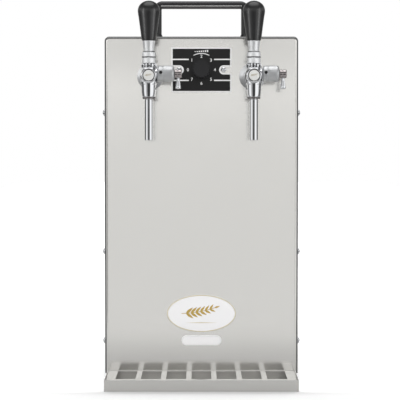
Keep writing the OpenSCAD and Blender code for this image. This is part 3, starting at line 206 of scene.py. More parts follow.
# %% [markdown]
# ## Studio
#
# A product page shows such an appliance on white paper, in even light. Polished metal shows the
# room instead of a colour of its own, so the room matters: bright cards stand to the left and
# right of the camera, the camera and its stand leave a dark gap low in front, and the sides and
# most of the ceiling are dark, apart from a soft box straight above. That gives the chrome a dark
# streak, two white ones and dark rims, and the black grips a pale crown.
# The paper behind looks white to the camera, as a cut-out page would show it.

# %% Room
def new_object(name, data):
    made = bpy.data.objects.new(name, data)
    bpy.context.scene.collection.objects.link(made)
    return made


CARD = 1.15
DARK = 0.14
GAP = 0.06
HIGH_GAP = 0.78
FADE = 0.62
DIM = 0.50
BACKDROP = 0.9
LOW_CARDS = [(-180, BACKDROP), (-162, BACKDROP), (-145, DARK), (-88, DARK), (-72, CARD), (-54, CARD),
             (-44, FADE), (-28, DIM), (-20, GAP), (18, GAP), (26, CARD), (70, CARD), (86, DARK),
             (145, DARK), (162, BACKDROP), (180, BACKDROP)]
HIGH_CARDS = [(-180, BACKDROP), (-150, DIM), (-115, DIM), (-96, CARD), (-24, CARD), (-10, HIGH_GAP),
              (10, HIGH_GAP), (24, CARD), (96, CARD), (115, DIM), (150, DIM), (180, BACKDROP)]
CEILING = 0.10
SOFT_BOX = 2.2
HIGH_FROM, HIGH_TO = 0.024, 0.045
CEILING_FROM, CEILING_TO = 0.24, 0.50
BOX_FROM, BOX_TO = 0.80, 0.90
WHITE = grey(1.0)
BLACK = grey(0.0)

world = bpy.data.worlds.new("studio")
bpy.context.scene.world = world
world.use_nodes = True
room = Graph(world.node_tree)
direction = room.node("ShaderNodeTexCoord", output="Generated")
across = room.node("ShaderNodeSeparateXYZ", {}, {0: direction}, "X")
along = room.node("ShaderNodeSeparateXYZ", {}, {0: direction}, "Y")
rise = room.node("ShaderNodeSeparateXYZ", {}, {0: direction}, "Z")
azimuth = room.node("ShaderNodeMath", {"operation": "ARCTAN2"}, {0: across, 1: along * -1.0})
turn_share = azimuth * (0.5 / math.pi) + 0.5


def card_ring(stops):
    """Brightness round the room, from (degrees to the right of the camera, level) stops."""
    ring = room.node("ShaderNodeValToRGB", {}, {"Fac": turn_share})
    ramp = ring.socket.node.color_ramp
    while len(ramp.elements) < len(stops):
        ramp.elements.new(1.0)
    for element, (degrees, level) in zip(ramp.elements, stops):
        element.position = degrees / 360 + 0.5
        element.color = grey(level)
    return ring


walls = room.mix(room.step(rise, HIGH_FROM, HIGH_TO), card_ring(LOW_CARDS), card_ring(HIGH_CARDS))
overhead = room.mix(room.step(rise, BOX_FROM, BOX_TO), grey(CEILING), grey(SOFT_BOX))
room_light = room.mix(room.step(rise, CEILING_FROM, CEILING_TO), walls, overhead)
seen_directly = room.node("ShaderNodeLightPath", output="Is Camera Ray")
background = world.node_tree.nodes["Background"]
room.feed(background.inputs["Color"], room.mix(seen_directly, room_light, WHITE))
bpy.context.scene.view_settings.view_transform = "Standard"
print("room with", len(LOW_CARDS) + len(HIGH_CARDS), "stops of card and gap")

# %% [markdown]
# The floor is one sheet of matt paper. It looks whiter to the camera than in the steel, because a page
# whitens its background and leaves the mirror image of it alone. In the steel it is painted darker near the
# cabinet, a painted shade. Beside and behind the tray it glows a little, like a light table, so that only the
# front has a shadow, and that shadow is painted: ambient occlusion darkens the paper's colour in front of the
# tray.

# %% Floor
FLOOR_SIDE = 1.3
FLOOR_FRONT = -0.85
FLOOR_BACK = 9.0
PAPER = 0.97
PAPER_SHADED_NEAR, PAPER_FAR = 0.43, 0.66
NEAR_Y = -0.35
PAPER_GRAIN = 0.02
PAPER_GRAIN_SCALE = 3.0
PAPER_GLOW = 0.30
# Strength, reach and tone of the painted shadow in front of the tray.
PAINTED_SHADOW = 2.2
PAINTED_SHADOW_REACH = 0.15
PAINTED_SHADOW_TONE = 0.2
GLOW_FROM, GLOW_TO = -0.275, -0.245
floor_mesh = bpy.data.meshes.new("floor")
floor_corners = [(-FLOOR_SIDE, FLOOR_FRONT, 0), (FLOOR_SIDE, FLOOR_FRONT, 0),
                 (FLOOR_SIDE, FLOOR_BACK, 0), (-FLOOR_SIDE, FLOOR_BACK, 0)]
floor_mesh.from_pydata(floor_corners, [], [(0, 1, 2, 3)])
floor = new_object("floor", floor_mesh)
paper = Finish("studio_paper", Roughness=0.9, Specular_IOR_Level=0.1)
paper_seen = paper.node("ShaderNodeLightPath", output="Is Camera Ray")
paper_depth = paper.node("ShaderNodeSeparateXYZ", {}, {0: paper.place()}, "Y")
# Painted shade: in mirrors the paper is painted darker near the cabinet than far in front of it.
near_shade_share = paper.step(paper_depth, FLOOR_FRONT, NEAR_Y)
mirrored_paper = paper.mix(near_shade_share, grey(PAPER_FAR), grey(PAPER_SHADED_NEAR))
paper_tone = paper.mix(paper_seen, mirrored_paper, grey(PAPER))
behind_front = paper.step(paper_depth, GLOW_FROM, GLOW_TO)
paper_glow = behind_front * paper_seen * PAPER_GLOW
# Painted shadow: where ambient occlusion finds the tray close by, the paper's colour is darkened in front of
# it.
openness = paper.node("ShaderNodeAmbientOcclusion", {}, {"Distance": PAINTED_SHADOW_REACH}, "AO")
painted_shadow = (1 - openness) * (1 - behind_front) * PAINTED_SHADOW
paper_grain = paper.mix(paper.noise(PAPER_GRAIN_SCALE) * PAPER_GRAIN, paper_tone, WHITE)
floor.data.materials.append(paper.surface(
    Base_Color=paper.mix(painted_shadow, paper_grain, grey(PAINTED_SHADOW_TONE)),
    Emission_Color=paper.mix(paper_glow, BLACK, WHITE),
    Emission_Strength=1.0))
print("paper", 2 * FLOOR_SIDE, "by", FLOOR_BACK - FLOOR_FRONT, "m")

# %% [markdown]
# Two soft lamps light what isn't a mirror. One hangs above the paper, and the other shines from the
# camera's side, so that the front isn't darker than the top. Both are wide suns, because a sun
# lights the whole floor evenly and a wide one casts hardly any edge. They are kept out of mirrors,
# where they would show as spots that the room doesn't have.

# %% Lamp and fill
LAMP_PLACE = (0, -0.6, 2.6)
LAMP_STRENGTH = 0.8
LAMP_SPREAD = 100
LAMP_TILT = -8
FILL_STRENGTH = 0.85
FILL_SPREAD = 60
FILL_TILT = 72


def soft_sun(name, strength, spread, place, tilt):
    """A wide light that stays out of mirrors; `spread` and `tilt` are degrees."""
    data = bpy.data.lights.new(name, "SUN")
    data.energy = strength
    data.angle = math.radians(spread)
    sun = new_object(name, data)
    sun.location = place
    sun.rotation_euler = (math.radians(tilt), 0, 0)
    sun.visible_glossy = False
    return sun


lamp = soft_sun("lamp", LAMP_STRENGTH, LAMP_SPREAD, LAMP_PLACE, LAMP_TILT)
fill = soft_sun("fill", FILL_STRENGTH, FILL_SPREAD, camera.location, FILL_TILT)
print("lamp and fill are set")

# %% [markdown]
# The flat panel would mirror the dark gap round the camera, while on the page it is evenly bright.
# A photographer lights such a panel with a card of its own. Light linking does the same here: the
# card stands in front, low and wide, and only the panel, the badge and the label receive it.

# %% Card for the panel
CARD_DISTANCE = 3.8
CARD_WIDE, CARD_HIGH = 1.9, 1.17
CARD_TOP = 0.60
CARD_WATTS = 4.58


def linked_card(name, wide, high, watts, lit):
    """An upright rectangular light for the objects of the collection `lit` alone."""
    data = bpy.data.lights.new(name, "AREA")
    data.shape = "RECTANGLE"
    data.size = wide
    data.size_y = high
    data.energy = watts
    card = new_object(name, data)
    card.rotation_euler = (math.pi / 2, 0, 0)
    card.light_linking.receiver_collection = lit
    return card


receivers = bpy.data.collections.new("panel_card_receivers")
receivers.objects.link(nodes["front_panel"])
panel_card = linked_card("panel_card", CARD_WIDE, CARD_HIGH, CARD_WATTS, receivers)
panel_card.location = (0, panel_y - CARD_DISTANCE, CARD_TOP - CARD_HIGH / 2)
print("card for the panel:", CARD_WIDE, "by", CARD_HIGH, "m")

# %% [markdown]
# ## Metal finishes
#
# The cabinet, tray and grate are stainless sheet with a fine factory grain, rolled and then lightly polished,
# so it still mirrors the tray in front of it. Long thin noise gives the grain, and a slow cloud of noise
# gives the uneven sheen that a wiped sheet has. The flats were ground after folding, which scatters part of
# the light, while the folds kept their polish: `flatness` is 1 where a face lies square to an axis and falls
# off round a bend. The front's folds are painted dark grey and not metallic, a dark line which frames the
# panel.

# %% Rolled sheet
FLAT_FROM, FLAT_TO = 0.86, 0.98
BARE_FROM, BARE_TO = 0.62, 0.80
CROSS_GRAIN = (0.012, 1.0, 1.0)
GRAIN_SCALE = 1100.0
GRAIN_DETAIL = 4.0
GRAIN_DARK, GRAIN_PALE = 0.96, 1.03
WARM_DARK, WARM_PALE = 0.038, 0.034
GRAIN_ROUGHNESS = 0.10
GRAIN_BUMP = 0.06
GRAIN_DEPTH = 0.2 * MM
SHEEN_SCALE = 7.0
SHEEN_ROUGHNESS = 0.05


def flatness(finish, low, high):
    """1 on faces square to an axis, 0 on the folds between them."""
    facing = finish.node("ShaderNodeNewGeometry", output="Normal")
    fourth_powers = []
    for axis in "XYZ":
        share = finish.node("ShaderNodeSeparateXYZ", {}, {0: facing}, axis)
        square = share * share
        fourth_powers.append(square * square)
    return finish.step(fourth_powers[0] + fourth_powers[1] + fourth_powers[2], low, high)


def brushed_steel(name, tone, roughness, ground, edge=None):
    """Rolled sheet with its grain along x. `ground` is the share of light that the flats scatter, and `edge`
    the dark grey painted on the folds."""
    finish = Finish(name)
    flat = flatness(finish, FLAT_FROM, FLAT_TO)
    lines = finish.noise(GRAIN_SCALE, CROSS_GRAIN, GRAIN_DETAIL)
    cloud = finish.noise(SHEEN_SCALE)
    colour = finish.mix(lines, grey(tone * GRAIN_DARK, WARM_DARK), grey(tone * GRAIN_PALE, WARM_PALE))
    metal = 1 - flat * ground
    if edge is not None:
        bare = flatness(finish, BARE_FROM, BARE_TO)
        colour = finish.mix(bare, edge, colour)
        metal = metal * bare
    return finish.surface(
        Base_Color=colour,
        Metallic=metal,
        Roughness=roughness + (lines - 0.5) * GRAIN_ROUGHNESS + (cloud - 0.5) * SHEEN_ROUGHNESS,
        Normal=finish.bump(lines, GRAIN_BUMP, GRAIN_DEPTH))


# Dark grey painted on the front's folds by a mask on the surface's normal.
FOLD_GREY = grey(0.10)
panel_steel = brushed_steel("panel_steel", tone=0.84, roughness=0.20, ground=0.3)
front_steel = brushed_steel("front_steel", tone=0.84, roughness=0.12, ground=0.16, edge=FOLD_GREY)
tray_steel = brushed_steel("tray_steel", tone=0.70, roughness=0.20, ground=0.5)
grate_steel = brushed_steel("grate_steel", tone=0.58, roughness=0.20, ground=0.4)
aluminium = brushed_steel("aluminium", tone=0.66, roughness=0.32, ground=0.3)
print("rolled sheet: four steels and aluminium")

# %% [markdown]
# The taps are chromed brass: nearly a mirror, with the faint smears of use. A smear only dulls the
# plating, so one noise feeds the colour and the roughness together. Levers and bonnets are pearl
# chromed, the same plating over a finely blasted surface, and the regulators are satin chromed,
# over a brushed one. The rosettes on the panel are polished less than the taps.

# %% Plated and turned metal
SMEAR_SCALE = 60.0
SMEAR_STRETCH = (1, 1, 0.5)
SMEAR_DETAIL = 5.0
WORN_SHARE = 0.93


def polished_metal(name, colour, roughness, smear=0.04, metallic=1.0):
    """Plated or turned metal, with smears that only dull it."""
    finish = Finish(name, Metallic=metallic)
    smears = finish.noise(SMEAR_SCALE, SMEAR_STRETCH, SMEAR_DETAIL)
    worn = tuple(channel * WORN_SHARE for channel in colour[:3]) + (1.0,)
    return finish.surface(
        Base_Color=finish.mix(smears, colour, worn),
        Roughness=roughness + smears * smear)


chrome = polished_metal("chrome", (0.80, 0.81, 0.83, 1.0), roughness=0.03)
pearl_chrome = polished_metal("pearl_chrome", (0.86, 0.87, 0.88, 1.0),
                              roughness=0.26, smear=0.06, metallic=0.6)
satin_chrome = polished_metal("satin_chrome", (0.62, 0.63, 0.64, 1.0),
                              roughness=0.38, smear=0.08, metallic=0.84)
rosette_chrome = polished_metal("rosette_chrome", (0.80, 0.81, 0.82, 1.0),
                                roughness=0.16, smear=0.06, metallic=0.72)
brass = polished_metal("brass", (0.72, 0.56, 0.30, 1.0), roughness=0.22, smear=0.12)
copper = polished_metal("copper", (0.76, 0.42, 0.28, 1.0), roughness=0.20, smear=0.16)
print("plated and turned metals: four chromes, brass and copper")

# %% [markdown]
# ## Plated, painted and moulded finishes
#
# The thermostat's housing and the pivot pins are zinc plated, which shows as a bluish crystal
# pattern. The compressor is black enamel with the slight orange peel of a dipped coat. The handle
# is moulded with a fine spark-eroded texture, while the tap grips are smooth black plastic. One
# function serves the enamel and the plastics, which differ only in colour, sheen and texture.

# %% Zinc and plastics
SPANGLE_SCALE = 420.0
SPANGLE_DARK = (0.52, 0.54, 0.57, 1.0)
SPANGLE_PALE = (0.68, 0.69, 0.70, 1.0)
ZINC_ROUGHNESS = 0.26
SPANGLE_ROUGHNESS = 0.14
COAT_ROUGHNESS = 0.04
PATCH_SCALE = 25.0
PATCH_GAIN = 1.25
PATCH_LIFT = 0.002
PATCH_ROUGHNESS = 0.08
TEXTURE_BUMP = 0.25
TEXTURE_DEPTH = 0.05 * MM


def spangled_zinc(name):
    finish = Finish(name, Metallic=1.0)
    crystals = finish.cells(SPANGLE_SCALE, "Color")
    level = finish.node("ShaderNodeRGBToBW", {}, {"Color": crystals})
    return finish.surface(
        Base_Color=finish.mix(level, SPANGLE_DARK, SPANGLE_PALE),
        Roughness=ZINC_ROUGHNESS + level * SPANGLE_ROUGHNESS)


def moulded_plastic(name, colour, roughness, texture, coat=0.0, depth=TEXTURE_DEPTH):
    """Plastic with a fine moulded texture; `texture` is its scale and `coat` a clear gloss."""
    finish = Finish(name, Coat_Roughness=COAT_ROUGHNESS)
    grains = finish.noise(texture)
    patches = finish.noise(PATCH_SCALE)
    paler = tuple(min(channel * PATCH_GAIN + PATCH_LIFT, 1.0) for channel in colour[:3]) + (1.0,)
    return finish.surface(
        Base_Color=finish.mix(patches, colour, paler),
        Roughness=roughness + (patches - 0.5) * PATCH_ROUGHNESS,
        Coat_Weight=coat,
        Normal=finish.bump(grains, TEXTURE_BUMP, depth))


print("zinc and moulded plastic are ready")

# %% [markdown]
# Two finishes are hidden behind the panels, where only a camera inside the cabinet finds them: the
# milky beer hose with its faint amber, and the poured foam round the cooling block, with open
# cells on its faces. Voronoi cells give the foam, because its bubbles press against each other.

# %% Hose and foam
HOSE_AMBER = (0.88, 0.80, 0.58, 1.0)
HOSE_MILK = (0.95, 0.91, 0.78, 1.0)
HOSE_SCALE = 90.0
HOSE_IOR = 1.45
HOSE_CLEAR = 0.35
HOSE_ROUGHNESS = 0.12
HOSE_CLOUD = 0.10
FOAM_PALE = (0.90, 0.85, 0.66, 1.0)
FOAM_DARK = (0.80, 0.74, 0.54, 1.0)
FOAM_SCALE = 600.0
FOAM_ROUGHNESS = 0.85
CELL_ROUGHNESS = 0.1
CELL_BUMP = 0.5
CELL_DEPTH = 0.4 * MM


def clear_hose(name):
    finish = Finish(name, IOR=HOSE_IOR, Transmission_Weight=HOSE_CLEAR)
    cloud = finish.noise(HOSE_SCALE)
    return finish.surface(
        Base_Color=finish.mix(cloud, HOSE_AMBER, HOSE_MILK),
        Roughness=HOSE_ROUGHNESS + cloud * HOSE_CLOUD)


def cast_foam(name):
    finish = Finish(name)
    cells = finish.cells(FOAM_SCALE, "Distance")
    return finish.surface(
        Base_Color=finish.mix(cells, FOAM_PALE, FOAM_DARK),
        Roughness=FOAM_ROUGHNESS + cells * CELL_ROUGHNESS,
        Normal=finish.bump(cells, CELL_BUMP, CELL_DEPTH))


print("hose and foam are ready")

# %% [markdown]
# The record of the part names one material slot for each node. This table gives every slot its
# finish, from a base colour, a roughness and the fineness of the texture.

# %% A finish for each slot
ENAMEL_PEEL = 0.3 * MM
POLISHED_SKIN = 0.01 * MM
slot_finish = {
    "steel": panel_steel,
    "chrome": chrome,
    "black_plastic": moulded_plastic("black_plastic", (0.012, 0.012, 0.013, 1.0),
                                     roughness=0.34, texture=2600.0),
    "black_plate": moulded_plastic("black_plate", (0.006, 0.006, 0.006, 1.0),
                                   roughness=0.30, texture=1800.0),
    "white_enamel": moulded_plastic("white_enamel", (0.97, 0.96, 0.97, 1.0),
                                    roughness=0.30, texture=300.0, coat=0.3),
    "rubber": moulded_plastic("rubber", (0.022, 0.022, 0.022, 1.0), roughness=0.72, texture=1500.0),
    "zinc": spangled_zinc("zinc"),
    "aluminium": aluminium,
    "foam": cast_foam("foam"),
    "clear_tube": clear_hose("clear_tube"),
    "black_steel": moulded_plastic("black_steel", (0.016, 0.016, 0.017, 1.0),
                                   roughness=0.26, texture=160.0, coat=0.3, depth=ENAMEL_PEEL),
    "copper": copper,
    "grey_plastic": moulded_plastic("grey_plastic", (0.30, 0.31, 0.32, 1.0),
                                    roughness=0.45, texture=2200.0),
    "grip_plastic": moulded_plastic("grip_plastic", (0.014, 0.014, 0.0145, 1.0),
                                    roughness=0.30, texture=700.0, depth=POLISHED_SKIN),
    "brass": brass,
}
print("finishes for", len(slot_finish), "slots")

# %% [markdown]
# ## Dress the CAD nodes
#
# Each CAD node names its material slot, so one loop can dress all of them. The front panel, the
# tray and the grate are steel like the rest of the cabinet, but ground more or less, and the
# rosettes are chromed like the taps, but duller. These five take a finish of their own.

# %% Dress the nodes
OWN_FINISH = {"front_panel": front_steel, "drip_tray": tray_steel, "drip_grate": grate_steel,
              "left_rosette": rosette_chrome, "right_rosette": rosette_chrome}
for part in frame["record"]["subparts"]:
    node = nodes[part["node"]]
    node.data.materials.clear()
    node.data.materials.append(OWN_FINISH.get(part["node"], slot_finish[part["material_slot"]]))
print("dressed", len(nodes), "nodes")

# %% [markdown]
# ## Shapes
#
# Most of a tap is turned on a lathe and then polished, which rounds every edge a little before it
# is chromed. `turned` spins a profile of (radius, height) pairs in millimetres, and `softened`
# rounds the profile's corners first. A weighted-normal modifier keeps the flats looking flat.
# Printed marks are thin flat shapes that stand a hair above what they are printed on.

# %% Profiles
TINY = 1e-7
CORNER_SHARE = 0.45


def softened(points, radius, steps=4):
    """The profile with each inner corner rounded."""
    soft = [Vector(points[0])]
    for before, corner, after in zip(points, points[1:], points[2:]):
        corner = Vector(corner)
        back = Vector(before) - corner
        ahead = Vector(after) - corner
        reach = min(radius, back.length * CORNER_SHARE, ahead.length * CORNER_SHARE)
        start = corner + back.normalized() * reach
        end = corner + ahead.normalized() * reach
        for step in range(steps + 1):
            share = step / steps
            soft.append(start * (1 - share) ** 2 + corner * 2 * share * (1 - share) + end * share ** 2)
    soft.append(Vector(points[-1]))
    return soft


def closed(points):
    """The profile of a ring: the points and the first one again."""
    return [*points, points[0]]


def curved(points, steps=6):
    """A smooth line through the points."""
    line = []
    padded_points = [points[0], *points, points[-1]]
    for a, b, c, d in zip(padded_points, padded_points[1:], padded_points[2:], padded_points[3:]):
        a, b, c, d = Vector(a), Vector(b), Vector(c), Vector(d)
        for step in range(steps):
            t = step / steps
            line.append(b + (c - a) * (t / 2) + (a * 2 - b * 5 + c * 4 - d) * (t * t / 2)
                        + (b * 3 - a - c * 3 + d) * (t ** 3 / 2))
    line.append(Vector(points[-1]))
    return line


print("profiles can be softened, closed and curved")

# %% [markdown]
# A bmesh holds faces while a piece is being made, and becomes an object when it is done. `fitted`
# then gives the object its finish, the body that it moves with and the CAD nodes that it hides.

# %% Meshes
def mesh_object(name, mesh, smooth=True):
    """An object from a bmesh, with its normals facing out."""
    bmesh.ops.remove_doubles(mesh, verts=mesh.verts, dist=TINY)
    bmesh.ops.recalc_face_normals(mesh, faces=mesh.faces)
    data = bpy.data.meshes.new(name)
    mesh.to_mesh(data)
    mesh.free()
    if smooth:
        data.shade_smooth()
    return new_object(name, data)


def spun(mesh, profile, origin, direction, segments=64, ripple=None):
    """Adds a turned shape to a bmesh. `ripple` gives a radius factor for (angle, height)."""
    upright = Vector((0, 0, 1)).rotation_difference(Vector(direction)).to_matrix()
    rings = []
    for radius, height in profile:
        ring = []
        for k in range(segments if radius > TINY else 1):
            angle = 2 * math.pi * k / segments
            reach = radius * (ripple(angle, height) if ripple else 1)
            spot = Vector((reach * math.cos(angle), reach * math.sin(angle), height)) * MM
            ring.append(mesh.verts.new(Vector(origin) + upright @ spot))
        rings.append(ring)
    for lower, upper in zip(rings, rings[1:]):
        for k in range(segments):
            after = (k + 1) % segments
            corners = [lower[k % len(lower)], lower[after % len(lower)],
                       upper[after % len(upper)], upper[k % len(upper)]]
            corners = list(dict.fromkeys(corners))
            if len(corners) > 2:
                mesh.faces.new(corners)


def shaded(name, mesh):
    """A smooth object whose flats still look flat."""
    made = mesh_object(name, mesh)
    made.modifiers.new("flats", "WEIGHTED_NORMAL")
    return made


def turned(name, profile, origin, direction=(0, 0, 1), segments=64, ripple=None):
    """One turned piece."""
    mesh = bmesh.new()
    spun(mesh, profile, origin, direction, segments, ripple)
    return shaded(name, mesh)


def fitted(piece, material, body, slot, *replaced):
    """Gives a piece its finish, its body and the CAD nodes it stands for."""
    piece.data.materials.append(material)
    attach(piece, body)
    if replaced:
        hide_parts(*replaced)
    return piece


print("shape helpers are ready")

# %% [markdown]
# ## Taps
#
# Each tap is a chromed brass ball with a short neck above and an outlet below. The lever's collar
# rides over a domed bonnet, a ferrule flares up to the black grip, and a plain tube is the spout.
# The CAD solids carry the joints, so these pieces keep close to their sizes and add the looks:
# rolled edges, the notched lock ring under the bonnet and the rings round each collar. The main
# places come from the boxes of the CAD nodes.

# %% Tap sizes in millimetres
shank_low, shank_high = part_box("right_shank")
spout_low, spout_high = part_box("right_spout")
cap_low, cap_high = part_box("right_front_cap")
grip_low, grip_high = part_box("right_grip")
TAP_X = (shank_low.x + shank_high.x) / 2 / MM
TAP_Y = (spout_low.y + spout_high.y) / 2 / MM
TAP_Z = (shank_low.z + shank_high.z) / 2 / MM
BALL_Z = (cap_low.z + cap_high.z) / 2 / MM - TAP_Z
BALL_R = 12.5
CAP_SEAT = TAP_Y - cap_high.y / MM
BONNET_SEAT = 16.0
SEAM_Z = 24.3
COLLAR_TOP = 32.0
COLLAR_R = 9.75
GRIP_FOOT = grip_low.z / MM - TAP_Z
GRIP_TOP = grip_high.z / MM - TAP_Z
MOUTH_Z = -33.5
SPOUT_END = spout_low.z / MM - TAP_Z
EDGE = 0.5
FINE_EDGE = 0.3
THIN_EDGE = 0.2
print("tap axis at", TAP_X, TAP_Y, TAP_Z)

# %% [markdown]
# A lever is turned from one bar: a cupped collar at its foot, which rides over the bonnet, and a
# ferrule that flares towards the grip. The grip is a moulded knob. A few points give its profile,
# and a smooth curve through them gives the swell that fits a hand. Two rubber rings seal the joints.

# %% Lever profiles
GRIP = [(0, GRIP_TOP), (4.6, GRIP_TOP - 0.7), (9.0, GRIP_TOP - 2.7), (12.4, GRIP_TOP - 5.6),
        (14.6, GRIP_TOP - 9.2), (15.6, GRIP_TOP - 13.6), (15.3, GRIP_TOP - 18), (14.5, GRIP_TOP - 23),
        (13.4, GRIP_TOP - 31), (12.2, GRIP_TOP - 40), (11.2, GRIP_TOP - 48), (10.4, GRIP_FOOT + 3),
        (9.9, GRIP_FOOT + 0.6)]
GRIP_BASE = [(9.4, GRIP_FOOT + 0.1), (0, GRIP_FOOT + 0.1)]
FERRULE = [(0, GRIP_FOOT - 0.1), (8.9, GRIP_FOOT - 0.1), (8.9, GRIP_FOOT - 1.5), (8.4, GRIP_FOOT - 5),
           (7.9, GRIP_FOOT - 9), (7.5, GRIP_FOOT - 12.5), (7.4, COLLAR_TOP), (0, COLLAR_TOP)]
COLLAR = [(0, COLLAR_TOP + 0.2), (8.6, COLLAR_TOP + 0.2), (9.5, COLLAR_TOP - 0.1),
          (COLLAR_R, COLLAR_TOP - 0.8), (COLLAR_R, SEAM_Z + 0.9), (9.5, SEAM_Z + 0.4),
          (8.6, SEAM_Z + 1.3), (6.0, SEAM_Z + 3.4), (0, SEAM_Z + 4.9)]
COLLAR_SEAL = closed([(8.8, SEAM_Z + 0.3), (9.8, SEAM_Z + 0.3), (9.9, SEAM_Z + 0.8),
                      (9.8, SEAM_Z + 1.3), (8.8, SEAM_Z + 1.3)])
FERRULE_SEAL = closed([(6.8, COLLAR_TOP + 0.1), (7.9, COLLAR_TOP + 0.1), (8.0, COLLAR_TOP + 0.7),
                       (7.9, COLLAR_TOP + 1.2), (6.8, COLLAR_TOP + 1.2)])
print("profiles: grip, ferrule, collar and two seals")

# %% [markdown]
# The lower body narrows to a ring at its mouth, painted near black in place of the dark reflection under its
# rolled lip, and the spout is a drawn tube that plugs into it. The front cap is a shallow pressed cup with a
# rolled rim round an enamel disc. The lock ring under the bonnet has spanner notches, which a factor on its
# radius cuts back in steps round the turn.

# %% Body profiles
NECK = [(0, 13.9), (8.7, 13.9), (9.0, 13.4), (9.0, 2)]
WAIST = [(11.4, -4), (11.6, -10.5), (10.8, -14.5), (10.4, -18), (10.3, -21), (10.1, -24), (9.8, -26.6),
         (9.4, -29), (9.1, -30.4)]
MOUTH = [(8.8, -31), (6.2, -31), (6.2, -26), (0, -26)]
BODY = [*NECK, *curved(WAIST), *MOUTH]
LIP = closed([(6.3, -30.6), (8.8, -30.6), (9.2, -31.2), (9.3, -32.3), (9.1, -33.1), (8.6, MOUTH_Z),
              (6.3, MOUTH_Z)])
BALL_STEP = 6
BALL_TURNS = [math.radians(degrees) for degrees in range(0, 181, BALL_STEP)]
BALL = [(BALL_R * math.sin(turn), BALL_Z + BALL_R * math.cos(turn)) for turn in BALL_TURNS]
SPOUT = closed([(5.05, -28), (5.6, -28), (5.6, MOUTH_Z - 1), (6.0, MOUTH_Z - 1.2), (6.0, SPOUT_END + 0.4),
                (5.75, SPOUT_END), (5.3, SPOUT_END), (5.05, SPOUT_END + 0.4)])
BONNET = [(0, SEAM_Z + 4.3), (6.0, SEAM_Z + 2.9), (8.4, SEAM_Z + 1.0), (9.5, SEAM_Z - 0.3),
          (COLLAR_R, SEAM_Z - 0.8), (COLLAR_R, BONNET_SEAT + 0.6), (9.4, BONNET_SEAT), (0, BONNET_SEAT)]
REAR_BOSS = [(0, 0), (10.4, 0), (11.0, 1.0), (11.0, 21.2), (10.4, 21.9), (0, 21.9)]
CAP_BOSS = [(0, 0), (9.6, 0), (9.6, CAP_SEAT + 0.1), (0, CAP_SEAT + 0.1)]
SIDE_BOSS = [(0, 0), (7.1, 0), (7.1, BALL_R + 0.1), (0, BALL_R + 0.1)]
CAP_FACE = 4.0
CAP = [(0, 0.1), (9.6, 0.1), (10.7, 0.9), (11.0, 2.4), (10.7, 3.7), (9.8, 4.5), (9.0, 4.5), (8.5, 4.1),
       (8.3, 2.6), (0, 2.6)]
CAP_SEAL = closed([(7.2, 2.5), (8.5, 2.5), (8.4, 3.3), (7.9, 3.5), (7.4, 3.3)])
CAP_DISC = [(0, CAP_FACE), (6.6, 3.95), (7.3, 3.7), (7.5, 3.2), (7.5, 2.5), (0, 2.5)]
RING = closed([(8.6, 10.2), (10.9, 10.2), (11.0, 14.8), (10.4, 15.7), (8.6, 15.7)])
RING_GAP = closed([(8.6, 10.4), (10.0, 10.4), (10.0, 15.5), (8.6, 15.5)])
RING_SEGMENTS = 168
NOTCHES = 14
NOTCH_FLOOR = 0.88
NOTCH_START = 0.35


def notched(angle, height):
    """Spanner notches round a ring: every other part of the turn is cut back."""
    return NOTCH_FLOOR if math.sin(NOTCHES * angle) > NOTCH_START else 1.0


print("profiles: body, ball, spout, bonnet, cap and ring")

# %% [markdown]
# ## Regulator
#
# The flow regulator is a short barrel on the tap's right side. Its middle is rolled with fine
# straight ribs for grip, a grub screw locks it, and a small lever on its hub turns the cone
# inside. Ribs are cut into the profile itself, so that they catch the light one by one.

# %% Regulator profiles
barrel_low, barrel_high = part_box("right_regulator")
arm_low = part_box("right_regulator_lever")[0]
BARREL_START = barrel_low.x / MM - TAP_X
BARREL_RISE = (barrel_low.z + barrel_high.z) / 2 / MM - TAP_Z
BARREL_L = (barrel_high.x - barrel_low.x) / MM
BARREL_R = 11.5
HUB_GAP = 0.3
HUB_START = BARREL_START + BARREL_L + HUB_GAP
HUB_R = 6.0
PADDLE_ALONG = 5
PADDLE_START = HUB_START + PADDLE_ALONG
PADDLE_END = TAP_Z + BARREL_RISE - arm_low.z / MM
PADDLE_EDGE = 0.6
RIBS = 36
RIB_DEPTH = 0.014
RIB_FROM = 7.8
RIB_TO = BARREL_L - 3.8
BARREL = [(0, 0), (10.6, 0), (11.3, 0.5), (BARREL_R, 1.2), (BARREL_R, 6.2), (11.1, 6.6), (11.1, 7.1),
          (BARREL_R, 7.5), (BARREL_R, RIB_FROM), (BARREL_R, RIB_TO), (BARREL_R, BARREL_L - 3.4),
          (11.2, BARREL_L - 2.4), (10.4, BARREL_L - 1.3), (9.3, BARREL_L - 0.5), (8.2, BARREL_L - 0.1),
          (0, BARREL_L - 0.1)]
HUB = [(0, -1), (3.0, -1), (3.0, 0), (5.3, 0), (5.9, 0.5), (HUB_R, 1.2), (HUB_R, 3.2), (5.4, 3.6),
       (5.4, 4.6), (HUB_R, 5.0), (HUB_R, 8.6), (5.7, 9.4), (4.9, 10.0), (0, 10.0)]
PADDLE = [(0, 3), (2.3, 3), (2.2, 7.4), (2.4, 9.5), (3.1, 13.5), (3.9, PADDLE_END - 3.4),
          (4.0, PADDLE_END - 2.1), (3.7, PADDLE_END - 0.9), (2.7, PADDLE_END - 0.2), (0, PADDLE_END)]
GRUB_SCREW = [(0, -0.2), (1.2, -0.2), (1.4, 0.1), (2.1, 0.1), (2.3, -0.1), (2.3, -1.6), (0, -1.6)]
GRUB_ALONG = 4.0
GRUB_RISE = 1.6
GRUB_OUT = 11.75
BARREL_SEGMENTS, HUB_SEGMENTS, PADDLE_SEGMENTS, GRUB_SEGMENTS = 216, 48, 40, 24


def ribbed(angle, height):
    """Straight ribs round the middle of the barrel."""
    if not RIB_FROM <= height <= RIB_TO:
        return 1.0
    return 1 - RIB_DEPTH * (0.5 + 0.5 * math.cos(RIBS * angle))


print("profiles: barrel, hub, lever and grub screw")

# %% [markdown]
# The body is one mesh of several turned shapes that run into each other, as the casting does. What
# is plated or made apart stays a piece of its own: mouth ring, cap, seal, disc, bonnet and spout.

